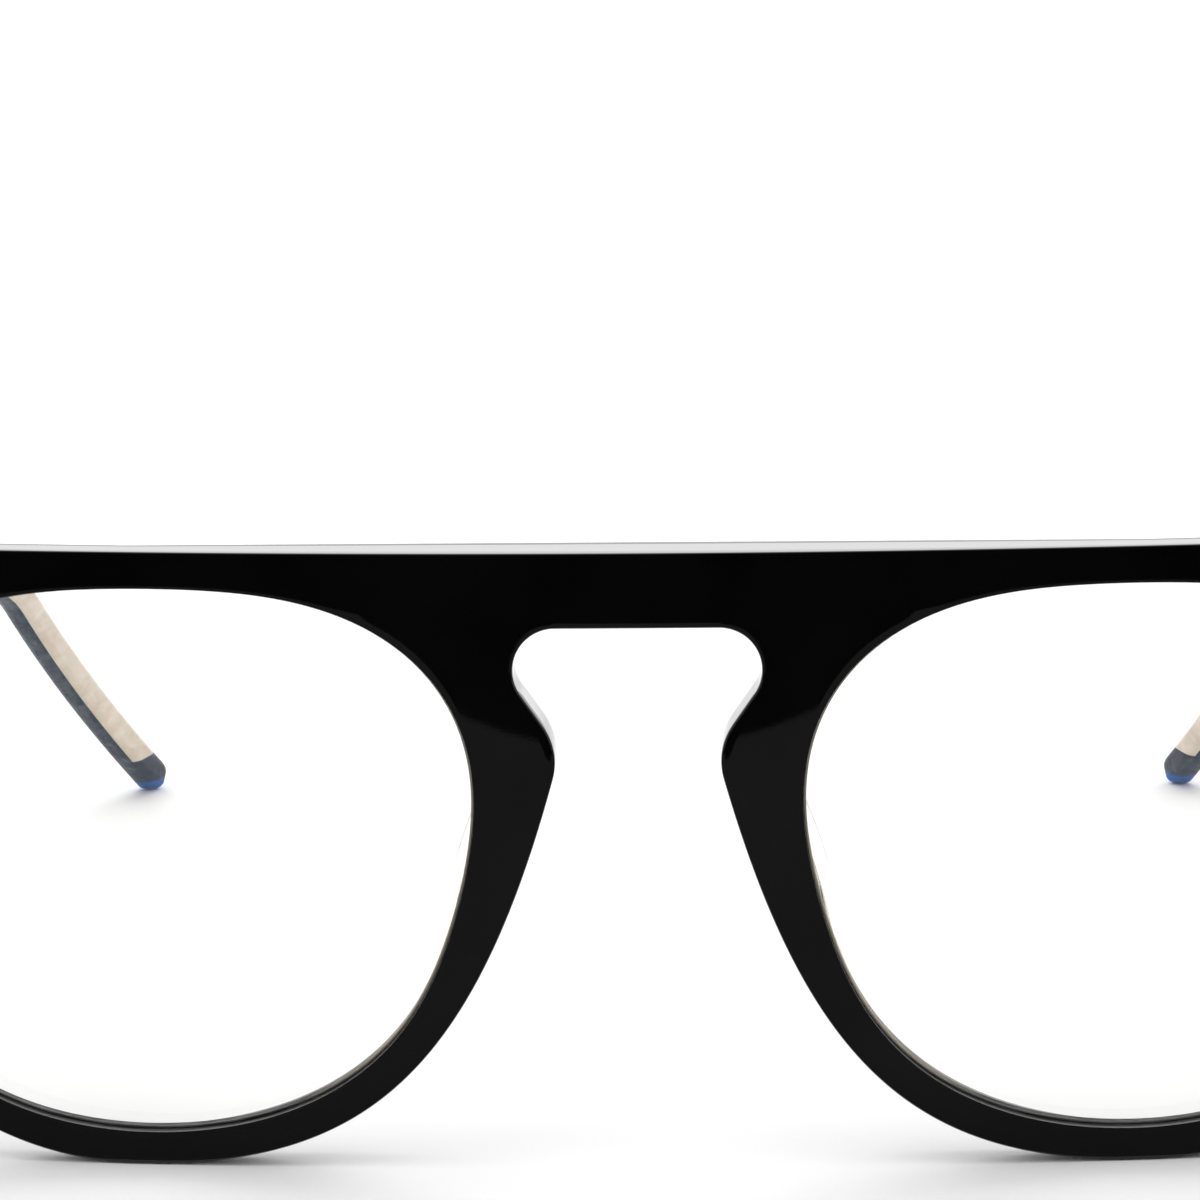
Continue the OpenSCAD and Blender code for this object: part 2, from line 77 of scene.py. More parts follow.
LENS_X, LENS_Z = (LENS_GAP + LENS_W) / 2, RIM_BOTTOM + LENS_H / 2
FRONT_H = RIM_BOTTOM + LENS_H + BROW_H
RIM_X = LENS_X + LENS_W / 2 + RIM_SIDE
HALF_W = RIM_X + END_W
SIDE_Z = LENS_Z + SIDE_SHARE * LENS_H
FOOT_X = LENS_X + FOOT_SHIFT
KEYHOLE_TOP = FRONT_H - BRIDGE_H
LENS_TURN = math.asin(LENS_X / CURVE_R)
LENS_C = (
    (CURVE_R - LENS_SETBACK - LENS_R) * math.sin(LENS_TURN),
    CURVE_R - (CURVE_R - LENS_SETBACK - LENS_R) * math.cos(LENS_TURN),
)

# The hinge block on the back of each end piece rises over a soft step
BLOCK_X, BLOCK_Z, BLOCK_STEP = 59.1, 33.8, 2.6

# Nose pads
PAD_LEN, PAD_DEPTH, PAD_EDGE_T, PAD_ROOT_W = 23.5, 6.1, 1.8, 3.0
PAD_DROP, PAD_LEAN, PAD_INSET, PAD_SPLAY, GLUE = 1.0, math.radians(17), 1.4, 1.6, 0.03

# Temples, in their own frame with the hinge axis at x = 0 and y = 0
HINGE_X, HINGE_Y, HINGE_Z, FACE_X = 65.5, 14.1, 42.3, 1.9
SHAFT_LEN, SHAFT_SLOPE, BEND_R, EAR_SLOPE = 75.5, math.radians(9.4), 28.0, math.radians(34)
TEMPLE_H = (9.0, 3.4, 3.0)
TEMPLE_T, OUTER_SHARE = (3.6, 2.5), 0.8
SHAFT_INWARD, EAR_INWARD_R, TIP_CAP_H, BUTT_Y = math.radians(6.8), 260.0, 4.0, 11.6
GLUE_PLANE = 1 - OUTER_SHARE

# Places on the front's outline (x, z), and the direction in degrees of the point of the lens
# opening that faces each, so that no line between them leaves the plastic
KEY_X, KEY_Z = KEYHOLE_W / 2 - KEYHOLE_R, KEYHOLE_TOP - KEYHOLE_R
FACING = (
    (KEY_X, FRONT_H, 124.5),
    (HALF_W - END_CORNER_R, FRONT_H, 46.5),
    (HALF_W, FRONT_H - END_H + END_CORNER_R, 40.0),
    (RIM_X + END_FILLET_R, FRONT_H - END_H, 36.5),
    (RIM_X, FRONT_H - END_H - END_FILLET_R, 22.3),
    (KEY_X + 0.82 * KEYHOLE_R, KEY_Z - 0.57 * KEYHOLE_R, -207.0),
    (KEY_X + KEYHOLE_R, KEY_Z, -211.0),
    (KEY_X + 0.71 * KEYHOLE_R, KEY_Z + 0.71 * KEYHOLE_R, -221.5),
    (KEY_X, KEYHOLE_TOP, -234.0),
)
# Along the brow between these X and on the lower rim up to this angle, an outline point faces
# the opening's point on its own line to the lens's centre
BROW_SPAN, LOWER_END = (20, 60), math.radians(15)

# Fineness of the curves and grids
OUTLINE_STEPS, CURVE_SAMPLES = 400, 6000
RING_STEPS, BRIDGE_STEPS, CUT_STEPS = 420, 12, 14
FRONT_ROWS, BACK_ROWS, FILLET_STEPS = 12, 36, 6
LENS_STEPS, LENS_RINGS = 192, 20
PAD_STEPS, PAD_ROWS = 96, 49
TEMPLE_STEPS, CORNER_STEPS, FLAT_STEPS, CAP_STEPS, TIP_STEPS = 110, 7, 8, 8, 12


# Curves


def line(a, b, n):
    """Points from a to b: a + (b - a) t."""
    t = np.linspace(0, 1, n + 1)[:, None]
    return np.asarray(a) + (np.asarray(b) - np.asarray(a)) * t


def arc(centre, radius, start, end, n):
    """Points of a circle between two angles: c + r (cos a, sin a)."""
    a = np.linspace(start, end, n + 1)[:, None]
    return np.asarray(centre) + radius * np.hstack([np.cos(a), np.sin(a)])


def cubic(a, b, c, d, n):
    """Points of a cubic curve with end points a and d and control points b and c."""
    t = np.linspace(0, 1, n + 1)[:, None]
    a, b, c, d = map(np.asarray, (a, b, c, d))
    return (1 - t) ** 3 * a + 3 * (1 - t) ** 2 * t * b + 3 * (1 - t) * t**2 * c + t**3 * d


def smooth_step(t):
    """0 below 0, 1 above 1 and 3 t^2 - 2 t^3 between."""
    t = np.clip(t, 0, 1)
    return t * t * (3 - 2 * t)


def opening_radius(angle):
    """Radius share of a lens opening: eight values at every 45 degrees, joined by waves
    sin(4 a) / (8 tan(a / 2)), each 1 in its own direction and 0 in the others."""
    total, tiny = np.zeros_like(angle), 1e-6
    for i, share in enumerate(OPENING_SHARE):
        a = (angle - i * math.pi / 4 + math.pi) % (2 * math.pi) - math.pi
        a = np.where(np.abs(a) < tiny, tiny, a)
        total += share * np.sin(4 * a) / (8 * np.tan(a / 2))
    return total


def opening(angle):
    """Points and outward normals of the right lens opening in X and Z. The point is the
    centre plus the radius share times the half width and half height in that direction."""

    def point(a):
        r = opening_radius(a)
        return np.stack(
            [LENS_X + LENS_W / 2 * r * np.cos(a), LENS_Z + LENS_H / 2 * r * np.sin(a)], -1
        )

    nudge = 0.01
    step = point(angle + nudge) - point(angle - nudge)
    normal = np.stack([step[:, 1], -step[:, 0]], -1)
    return point(angle), normal / np.linalg.norm(normal, axis=1, keepdims=True)


def half_outline():
    """Right half of the front's outline, clockwise from the brow's middle to the keyhole's
    middle: lines, arcs and two cubic curves that follow each other without a corner. Gives
    also the point where the nose side's curve meets the waist's arc."""
    fine, apart = OUTLINE_STEPS, 1e-7
    key_c = np.array([KEY_X, KEY_Z])
    key_end = key_c + KEYHOLE_R * np.array([math.cos(KEYHOLE_LEAN), -math.sin(KEYHOLE_LEAN)])
    turn = KEYHOLE_LEAN + FLANK_LEAN
    waist_x = WAIST_W / 2 - WAIST_R * (
        math.cos((KEYHOLE_LEAN - FLANK_LEAN) / 2) / math.cos(turn / 2) - 1
    )
    corner = np.array([waist_x, key_end[1] - (key_end[0] - waist_x) / math.tan(KEYHOLE_LEAN)])
    reach = WAIST_R * math.tan(turn / 2)
    waist_in = corner + reach * np.array([math.sin(KEYHOLE_LEAN), math.cos(KEYHOLE_LEAN)])
    waist_c = waist_in + WAIST_R * np.array([math.cos(KEYHOLE_LEAN), -math.sin(KEYHOLE_LEAN)])
    down = np.array([math.sin(FLANK_LEAN), -math.cos(FLANK_LEAN)])
    flank = corner + reach * down
    under = FRONT_H - END_H
    half, corner_x = math.pi / 2, HALF_W - END_CORNER_R
    fillet_c = (RIM_X + END_FILLET_R, under - END_FILLET_R)
    parts = [
        line((0, FRONT_H), (corner_x, FRONT_H), fine),
        arc((corner_x, FRONT_H - END_CORNER_R), END_CORNER_R, half, 0, fine),
        arc((corner_x, under + END_CORNER_R), END_CORNER_R, 0, -half, fine),
        arc(fillet_c, END_FILLET_R, half, math.pi, fine),
        cubic(
            (RIM_X, SIDE_Z),
            (RIM_X, SIDE_Z * (1 - SIDE_PULL)),
            (FOOT_X + (RIM_X - FOOT_X) * SIDE_FOOT_PULL, 0),
            (FOOT_X, 0),
            fine,
        ),
        cubic(
            (FOOT_X, 0),
            (FOOT_X + (flank[0] - FOOT_X) * FLANK_FOOT_PULL, 0),
            flank + FLANK_PULL * flank[1] * down,
            flank,
            fine,
        ),
        arc(waist_c, WAIST_R, math.pi + FLANK_LEAN, math.pi - KEYHOLE_LEAN, fine),
        arc(key_c, KEYHOLE_R, -KEYHOLE_LEAN, half, fine),
        line(key_c + (0, KEYHOLE_R), (0, KEYHOLE_TOP), fine),
    ]
    points = np.concatenate(parts)
    keep = np.r_[True, np.linalg.norm(np.diff(points, axis=0), axis=1) > apart]
    return points[keep], flank


def unit_normals(points):
    """Unit normals to the left of the walk, from the step between each point's neighbours."""
    step = np.gradient(points, axis=0)
    step /= np.linalg.norm(step, axis=1, keepdims=True)
    return np.stack([-step[:, 1], step[:, 0]], -1)


def blurred(values, width):
    """Running mean of each value and width more on both sides, with the ends held."""
    padded = np.pad(values, width, mode="edge")
    kernel = np.ones(2 * width + 1) / (2 * width + 1)
    return np.convolve(padded, kernel, mode="valid")


def respaced(points, steps):
    """Walks the curve again in the given number of steps, closer where it turns faster:
    stations per millimetre go as gentle + bends x curvature. Gives points and normals."""
    gentle, bends, turn_blur, density_blur = 1.0, 9.0, 6, 30
    length = np.r_[0, np.cumsum(np.linalg.norm(np.diff(points, axis=0), axis=1))]
    even = np.linspace(0, length[-1], CURVE_SAMPLES)
    curve = np.stack([np.interp(even, length, points[:, i]) for i in (0, 1)], -1)
    normal = unit_normals(curve)
    turn = blurred(np.unwrap(np.arctan2(normal[:, 1], normal[:, 0])), turn_blur)
    bend = np.abs(np.gradient(turn, even))
    density = blurred(gentle + bends * bend, density_blur)
    walked = np.r_[0, np.cumsum((density[1:] + density[:-1]) / 2 * np.diff(even))]
    at = np.interp(np.linspace(0, walked[-1], steps + 1), walked, even)
    new = np.stack([np.interp(at, even, curve[:, i]) for i in (0, 1)], -1)
    angle = np.interp(at, even, turn)
    return new, np.stack([np.cos(angle), np.sin(angle)], -1)


def ring_round_lens():
    """The outline from the brow to the keyhole, both at the keyhole's corner, and the angle
    of the lens opening that faces each of its points and each point of the upright cut that
    closes the ring. An angle is the point's own seen from the lens along most of the brow and
    the lower rim, and runs evenly along the outline between those parts and FACING."""
    outline, flank = half_outline()
    brow = int(np.searchsorted(outline[:OUTLINE_STEPS, 0], KEY_X))
    part = np.concatenate([[[KEY_X, FRONT_H]], outline[brow:-OUTLINE_STEPS]])
    ring, out = respaced(part, RING_STEPS)
    ring[0], ring[-1], out[0], out[-1] = (KEY_X, FRONT_H), (KEY_X, KEYHOLE_TOP), (0, 1), (0, -1)
    own = np.unwrap(np.arctan2((ring[:, 1] - LENS_Z) / LENS_H, (ring[:, 0] - LENS_X) / LENS_W))
    walked = np.r_[0, np.cumsum(np.linalg.norm(np.diff(ring, axis=0), axis=1))]
    x, z = ring.T
    level, below = 0.01, 2.0
    brow_part = (z > FRONT_H - level) & (x > BROW_SPAN[0]) & (x < BROW_SPAN[1])
    low_part = (z < flank[1] - below) & (own < LOWER_END)
    set_angle = {int(i): own[i] for i in np.flatnonzero(brow_part | low_part)}
    for x_at, z_at, degrees in FACING:
        set_angle[int(np.argmin(np.hypot(x - x_at, z - z_at)))] = math.radians(degrees)
    known = np.array(sorted(set_angle))
    at, facing = walked[known], np.array([set_angle[i] for i in known])
    loop, full = walked[-1] + FRONT_H - KEYHOLE_TOP, 2 * math.pi
    at, facing = np.r_[at - loop, at, at + loop], np.r_[facing + full, facing, facing - full]
    cut_share = np.linspace(0, 1, CUT_STEPS + 1)[1:-1]
    angle = np.interp(np.r_[walked, walked[-1] + cut_share * (loop - walked[-1])], at, facing)
    lap, blur = 12, 4
    wrapped = np.r_[angle[-lap:] + full, angle, angle[:lap] - full]
    return ring, out, blurred(wrapped, blur)[lap:-lap], cut_share


# Surfaces of the front


def front_y(x):
    """Depth of the front surface: an upright cylinder of radius R through the origin."""
    return CURVE_R - np.sqrt(CURVE_R**2 - x**2)


def back_y(x, z):
    """Depth of the back surface: flat across the middle, a cylinder about the front's axis
    further out, and raised to the flat hinge seat by a soft step outside BLOCK_X and above
    BLOCK_Z."""
    base = np.maximum(FRONT_T, CURVE_R - np.sqrt((CURVE_R - RIM_T) ** 2 - x**2))
    block = smooth_step((np.abs(x) - BLOCK_X) / BLOCK_STEP) * smooth_step(
        (z - BLOCK_Z) / BLOCK_STEP
    )
    return base + (SEAT_Y - base) * block


def lens_y(x, z, radius):
    """Depth of a sphere of the given radius about the right lens's centre of curvature."""
    return LENS_C[1] - np.sqrt(radius**2 - (x - LENS_C[0]) ** 2 - (z - LENS_Z) ** 2)


def wall(points, out, front_r, back_r, middle):
    """Grid that joins the front surface to the back surface round an outline: a quarter
    circle, the rows of middle and a quarter circle. out points out of the material, and
    middle lists (depth from row function, how far out) pairs."""
    rows = []
    for angle in np.linspace(0, math.pi / 2, FILLET_STEPS + 1):
        p = points - out * front_r * (1 - math.sin(angle))
        rows.append((p, front_y(p[:, 0]) + front_r * (1 - math.cos(angle))))
    for depth, proud in middle:
        rows.append((points + out * proud, depth))
    for angle in np.linspace(math.pi / 2, 0, FILLET_STEPS + 1):
        p = points - out * back_r * (1 - math.sin(angle))
        rows.append((p, back_y(p[:, 0], p[:, 1]) - back_r * (1 - math.cos(angle))))
    return np.stack([np.stack([p[:, 0], y, p[:, 1]], -1) for p, y in rows])


def laid(points, depth):
    """Points in X and Z laid on a surface whose Y is a function of the two."""
    x, z = points[..., 0], points[..., 1]
    return np.stack([x, depth(x, z), z], -1)


def sheet_between(inner, outer, rows, depth):
    """Straight lines from each inner point to its outer point, laid on a depth function."""
    t = np.linspace(0, 1, rows + 1)[:, None, None]
    return laid(inner + (outer - inner) * t, depth)


def face_grids(outer, inner, cut_share, r, rows, depth):
    """The front's front or back face, drawn in by r from the outline: a sheet round each lens
    opening, closed by an upright cut, and one between the cuts over the keyhole."""
    brow_z, key_z = FRONT_H - r, KEYHOLE_TOP + r
    cut_z = key_z + cut_share * (brow_z - key_z)
    cut = np.stack([np.full_like(cut_z, KEY_X), cut_z], -1)
    sheet = sheet_between(inner, np.concatenate([outer, cut]), rows, depth)
    across = line((-KEY_X, 0), (KEY_X, 0), 2 * BRIDGE_STEPS)[:, 0]
    x, z = np.meshgrid(across, np.r_[key_z, cut_z, brow_z])
    bridge = np.stack([x, depth(x, z), z], -1)
    return [(sheet, True), (sheet * MIRROR, True), (bridge, False)]


def outline_wall(ring, out, front_r, back_r):
    """The wall round the front's whole outline, from its right half and the half's normals."""
    brow = line((0, FRONT_H), (KEY_X, FRONT_H), BRIDGE_STEPS)[:-1]
    key = line((KEY_X, KEYHOLE_TOP), (0, KEYHOLE_TOP), BRIDGE_STEPS)[1:]
    points = np.concatenate([brow, ring, key])
    normals = np.concatenate([brow * 0 + (0, 1), out, key * 0 + (0, -1)])
    points, normals = (np.concatenate([p, p[-2:0:-1] * (-1, 1)]) for p in (points, normals))
    x, z = points.T
    y0, y1 = front_y(x) + front_r, back_y(x, z) - back_r
    middle = [(y0 + (y1 - y0) * t, 0) for t in (0.25, 0.5, 0.75)]
    return wall(points, normals, front_r, back_r, middle)


def groove_wall(hole, out, front_r, back_r):
    """The wall of the right lens opening, with the groove for the lens's ridge."""
    x, z = hole.T
    y0, y1 = front_y(x) + front_r, back_y(x, z) - back_r
    groove = lens_y(x, z, LENS_R - LENS_T / 2)
    mouth, floor = RIDGE_T / 2 + GROOVE_GAP, RIDGE_TOP / 2 + GROOVE_GAP
    depth = -(RIDGE_H + GROOVE_GAP)
    middle = [
        ((y0 + groove - mouth) / 2, 0),
        (groove - mouth, 0),
        (groove - floor, depth),
        (groove + floor, depth),
        (groove + mouth, 0),
        ((y1 + groove + mouth) / 2, 0),
    ]
    return wall(hole, -out, front_r, back_r, middle)


# Meshes


def quads(rows, cols, close_cols, start):
    """Corner indices of a grid's faces. The columns may close on themselves."""
    i, j = np.meshgrid(np.arange(rows - 1), np.arange(cols - (not close_cols)), indexing="ij")
    k = (j + 1) % cols
    faces = np.stack([i * cols + j, i * cols + k, (i + 1) * cols + k, (i + 1) * cols + j], -1)
    return faces.reshape(-1, 4) + start


def make_piece(name, grids, body, nodes, material, sharp=SHARP):
    """One welded mesh from grids of points: (points, whether the columns close, and the rows, from
    and to, that take a second material if any do). It rides on a body, stands for CAD nodes and
    takes the material or tuple of materials it is given."""
    verts, faces, second, start = [], [], [], 0
    for points, closed, *marked in grids:
        rows, cols = points.shape[:2]
        verts.append(points.reshape(-1, 3) * MM)
        faces.append(quads(rows, cols, closed, start))
        row = np.arange(len(faces[-1])) // (cols - (not closed))
        first, last = marked[0] if marked else (0, 0)
        second.append((row >= first) & (row < last))
        start += rows * cols
    mesh = bpy.data.meshes.new(name)
    mesh.from_pydata(np.concatenate(verts).tolist(), [], np.concatenate(faces).tolist())
    mesh.polygons.foreach_set("material_index", np.concatenate(second).astype(np.int32))
    bm = bmesh.new()
    bm.from_mesh(mesh)
    bmesh.ops.remove_doubles(bm, verts=bm.verts, dist=WELD)
    bmesh.ops.dissolve_degenerate(bm, edges=bm.edges, dist=WELD / 10)
    bmesh.ops.recalc_face_normals(bm, faces=bm.faces)
    bm.to_mesh(mesh)
    bm.free()
    mesh.polygons.foreach_set("use_smooth", np.ones(len(mesh.polygons), bool))
    mesh.set_sharp_from_angle(angle=math.radians(sharp))
    finish_piece(name, mesh, body, nodes, material)


def finish_piece(name, mesh, body, nodes, material):
    """Links a mesh as a piece of the model, with one material or a tuple of them."""
    piece = bpy.data.objects.new(name, mesh)
    bpy.context.scene.collection.objects.link(piece)
    for finish in material if isinstance(material, tuple) else (material,):
        piece.data.materials.append(finish)
    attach(piece, body)
    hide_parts(*nodes)
    return piece


def softened_copy(node, name, width, body, material):
    """A copy of a small metal CAD piece with its sharp edges rounded. Faces that lie within
    one degree of a plane are made one first."""
    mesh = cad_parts[node].data.copy()
    mesh.materials.clear()
    bm = bmesh.new()
    bm.from_mesh(mesh)
    bmesh.ops.remove_doubles(bm, verts=bm.verts, dist=WELD)
    bmesh.ops.dissolve_limit(bm, angle_limit=math.radians(1), verts=bm.verts, edges=bm.edges)
    bm.to_mesh(mesh)
    bm.free()
    mesh.polygons.foreach_set("use_smooth", np.ones(len(mesh.polygons), bool))
    piece = finish_piece(name, mesh, body, [node], material)
    edge = piece.modifiers.new("Rounded edges", "BEVEL")
    edge.width, edge.segments, edge.limit_method = width, 3, "ANGLE"
    edge.angle_limit = math.radians(SHARP)
    edge.harden_normals = True


# Materials


class Finish:
    """A small builder of node materials that read Object coordinates."""

    def __init__(self, name):
        self.material = bpy.data.materials.new(name)
        self.material.use_nodes = True
        self.tree = self.material.node_tree
        self.shader = self.tree.nodes["Principled BSDF"]
        self.output = self.tree.nodes["Material Output"]
        self.place = self.tree.nodes.new("ShaderNodeTexCoord").outputs["Object"]

    def node(self, kind, **sockets):
        """A node with its sockets, by name, fed with values or other sockets."""
        new = self.tree.nodes.new(kind)
        for key, value in sockets.items():
            self.feed(new.inputs[key.replace("_", " ")], value)
        return new

    def feed(self, socket, value):
        if isinstance(value, bpy.types.NodeSocket):
            self.tree.links.new(value, socket)
        else:
            socket.default_value = value

    def surface(self, **sockets):
        for key, value in sockets.items():
            self.feed(self.shader.inputs[key.replace("_", " ")], value)

    def stretched(self, scale, turn=(0, 0, 0)):
        """Object coordinates scaled and turned, so that a pattern has a grain."""
        mapping = self.node("ShaderNodeMapping", Vector=self.place, Scale=scale, Rotation=turn)
        return mapping.outputs["Vector"]

    def noise(self, scale, detail=2.0, rough=0.5, place=None, warp=0.0):
        new = self.node("ShaderNodeTexNoise", Vector=place or self.place, Scale=scale)
        for key, value in (("Detail", detail), ("Roughness", rough), ("Distortion", warp)):
            self.feed(new.inputs[key], value)
        return new.outputs["Fac"]

    def between(self, value, low, high, to_low, to_high):
        """Maps low to high onto to_low to to_high in a straight line, held at both ends."""
        new = self.node("ShaderNodeMapRange", Value=value, From_Min=low, From_Max=high)
        self.feed(new.inputs["To Min"], to_low)
        self.feed(new.inputs["To Max"], to_high)
        return new.outputs["Result"]

    def ramp(self, value, *stops):
        """A colour ramp from (place, colour) stops."""
        new = self.node("ShaderNodeValToRGB", Fac=value)
        band = new.color_ramp
        while len(band.elements) < len(stops):
            band.elements.new(0.5)
        for element, (place, colour) in zip(band.elements, stops):
            element.position = place
            element.color = (*colour, 1)
        return new.outputs["Color"]

    def blend(self, share, a, b):
        """Mixes two colours. Sockets 0, 6 and 7 are the share and the colours, output 2 the mix."""
        new = self.tree.nodes.new("ShaderNodeMix")
        new.data_type = "RGBA"
        for index, value in ((0, share), (6, a), (7, b)):
            if isinstance(value, tuple):
                value = (*value, 1)
            self.feed(new.inputs[index], value)
        return new.outputs[2]

    def bump(self, height, strength, distance, under=None):
        new = self.node(
            "ShaderNodeBump", Height=height, Strength=strength, Distance=distance
        )
        if under is not None:
            self.feed(new.inputs["Normal"], under)
        return new.outputs["Normal"]

    def split(self):
        return self.node("ShaderNodeSeparateXYZ", Vector=self.place).outputs


def black_acetate(looks):
    """Near black and polished: a faint waviness and fine wipe marks in the gloss."""
    f = Finish("Polished black acetate")
    waves = f.bump(f.noise(55, 1.0), 0.08, 0.00004)
    marks = f.noise(900, 3.0, 0.7, f.stretched((1, 1, 5), (0, 0.5, 0)))
    fine = f.bump(marks, 0.03, 0.00001, waves)
    tone = f.blend(f.between(f.noise(90), 0.35, 0.65, 0, 1), tuple(looks.black), (0.0022,) * 3)
    f.surface(
        Base_Color=tone,
        Roughness=f.between(f.noise(350, 4.0, 0.6), 0.3, 0.75, 0.012, 0.035),
        IOR=ACETATE_IOR,
        Normal=fine,
    )
    return f.material


def milled_wall_and_sheen():
    """The walls of the lens openings as the cutter leaves them: fine lines round the lens, on a
    grey that is a painted sheen, the polished black wall's reflection of the pale surround.
    """
    f = Finish("Milled black acetate")
    lines = f.noise(5200, 3.0, 0.65, f.stretched((0.03, 1, 0.03)))
    # The grey in this ramp is painted reflection; the lines that vary it are real milling marks
    f.surface(
        Base_Color=f.ramp(lines, (0.35, (0.02,) * 3), (0.7, (0.1,) * 3)),
        Roughness=f.between(lines, 0.3, 0.7, 0.22, 0.4),
        IOR=ACETATE_IOR,
        Normal=f.bump(lines, 0.2, 0.00002),
    )
    return f.material


def clear_glass(name, tint, roughness, ior, haze, gloss, root=None):
    """Clear glass or acetate that lets lamps through, with a trace of polishing marks. The
    gloss is 0.5 for a bare surface and less for a coated one. A root colour replaces the
    tint where the piece is glued to the front."""
    f = Finish(name)
    tone = (*tint, 1)
    if root:
        near, far = (FRONT_T + 0.7) * MM, (FRONT_T + 2.3) * MM
        tone = f.blend(f.between(f.split()["Y"], near, far, 0, 1), root, tint)
    marks = f.noise(420, 3.0, 0.6, f.stretched((1, 1, 3)))
    f.surface(
        Base_Color=tone,
        Roughness=f.between(marks, 0.35, 0.8, roughness, roughness + haze),
        IOR=ior,
        Specular_IOR_Level=gloss,
        Transmission_Weight=1.0,
        Normal=f.bump(f.noise(70, 1.0), 0.05, 0.00004),
    )
    path = f.tree.nodes.new("ShaderNodeLightPath")
    open_way = f.node("ShaderNodeBsdfTransparent", Color=tone)
    mix = f.tree.nodes.new("ShaderNodeMixShader")
    f.feed(mix.inputs[0], path.outputs["Is Shadow Ray"])
    f.feed(mix.inputs[1], f.shader.outputs[0])
    f.feed(mix.inputs[2], open_way.outputs[0])
    f.feed(f.output.inputs["Surface"], mix.outputs[0])
    return f.material


def ground_edge():
    """The lens edge as the grinding wheel leaves it: fine grey lines round the lens, and warmer
    beside the nose, where the cream of the pads is painted into its colour as a reflection."""
    f = Finish("Ground lens edge")
    lines = f.noise(5200, 3.0, 0.65, f.stretched((0.03, 1, 0.03)))
    nose_side, temple_side = 0.017, 0.026
    across = f.node("ShaderNodeMath", Value=f.split()["X"])
    across.operation = "ABSOLUTE"
    grey = f.ramp(lines, (0.35, (0.12,) * 3), (0.65, (0.34,) * 3))
    # Painted reflection: the pads' cream fills the edge's colour up to nose_side from the middle
    # and fades to grey by temple_side
    pad_reflection_share = f.between(across.outputs[0], nose_side, temple_side, 0, 1)
    f.surface(
        Base_Color=f.blend(pad_reflection_share, (0.8, 0.73, 0.6), grey),
        Roughness=f.between(lines, 0.3, 0.7, 0.35, 0.55),
        IOR=1.5,
        Normal=f.bump(lines, 0.3, 0.00002),
    )
    return f.material


def navy_acetate(looks):
    """Dark marbled acetate: flakes of slate and grey green in navy, and at the lowest end a painted
    blue glow of light shining through the tip.
    """
    f = Finish("Navy marbled acetate")
    cloud = f.noise(260, 5.0, 0.65, f.stretched((1.6, 0.5, 1.6)), 0.8)
    flakes = f.noise(1300, 3.0, 0.7, f.stretched((1.4, 0.7, 1.4)), 0.4)
    navy, slate = tuple(looks.navy), tuple(looks.slate)
    tone = f.blend(f.between(cloud, 0.42, 0.62, 0, 1), navy, slate)
    tone = f.blend(f.between(flakes, 0.56, 0.68, 0, 0.75), tone, (0.085, 0.11, 0.12))
    # Painted light: about a millimetre above the floor and lower, the tip takes a saturated blue, a
    # painted glow of light shining through the acetate
    glow_to, navy_from = 0.0009, 0.0013
    low = f.between(f.split()["Z"], glow_to, navy_from, 1, 0)
    tone = f.blend(low, tone, tuple(looks.tip_glow))
    f.surface(
        Base_Color=tone,
        Roughness=f.between(f.noise(500, 3.0), 0.3, 0.7, 0.2, 0.35),
        IOR=ACETATE_IOR,
        Specular_IOR_Level=0.03,
        Normal=f.bump(f.noise(180, 2.0), 0.1, 0.00005),
    )
    return f.material


def beige_acetate(looks):
    """Milky beige acetate with soft streaks along the temple."""
    f = Finish("Beige streaked acetate")
    streaks = f.noise(210, 4.0, 0.6, f.stretched((3, 0.35, 3)), 0.6)
    specks = f.noise(1500, 2.0, 0.7)
    tone = f.ramp(
        streaks,
        (0.3, (0.51, 0.42, 0.33)),
        (0.5, tuple(looks.beige)),
        (0.72, (0.69, 0.61, 0.5)),
    )
    tone = f.blend(f.between(specks, 0.6, 0.75, 0, 0.25), tone, (0.38, 0.32, 0.24))
    f.surface(
        Base_Color=tone,
        Roughness=f.between(f.noise(500, 3.0), 0.3, 0.7, 0.12, 0.24),
        IOR=ACETATE_IOR,
        Subsurface_Weight=0.35,
        Subsurface_Scale=0.001,
        Specular_IOR_Level=0.25,
        Normal=f.bump(f.noise(180, 2.0), 0.1, 0.00005),
    )
    return f.material


def metal(name, colour, roughness, grain):
    """Nickel silver with fine tool marks and slightly uneven tone."""
    f = Finish(name)
    marks = f.noise(2600, 3.0, 0.6, f.stretched(grain))
    darker = tuple(0.82 * c for c in colour)
    tone = f.blend(f.between(f.noise(700, 3.0), 0.3, 0.7, 0, 1), colour, darker)
    f.surface(
        Base_Color=tone,
        Metallic=1.0,
        Roughness=f.between(marks, 0.25, 0.75, roughness, roughness + 0.18),
        Normal=f.bump(marks, 0.12, 0.00001),
    )
    return f.material


# Settings


COLOUR = {"size": 3, "min": 0, "max": 1}


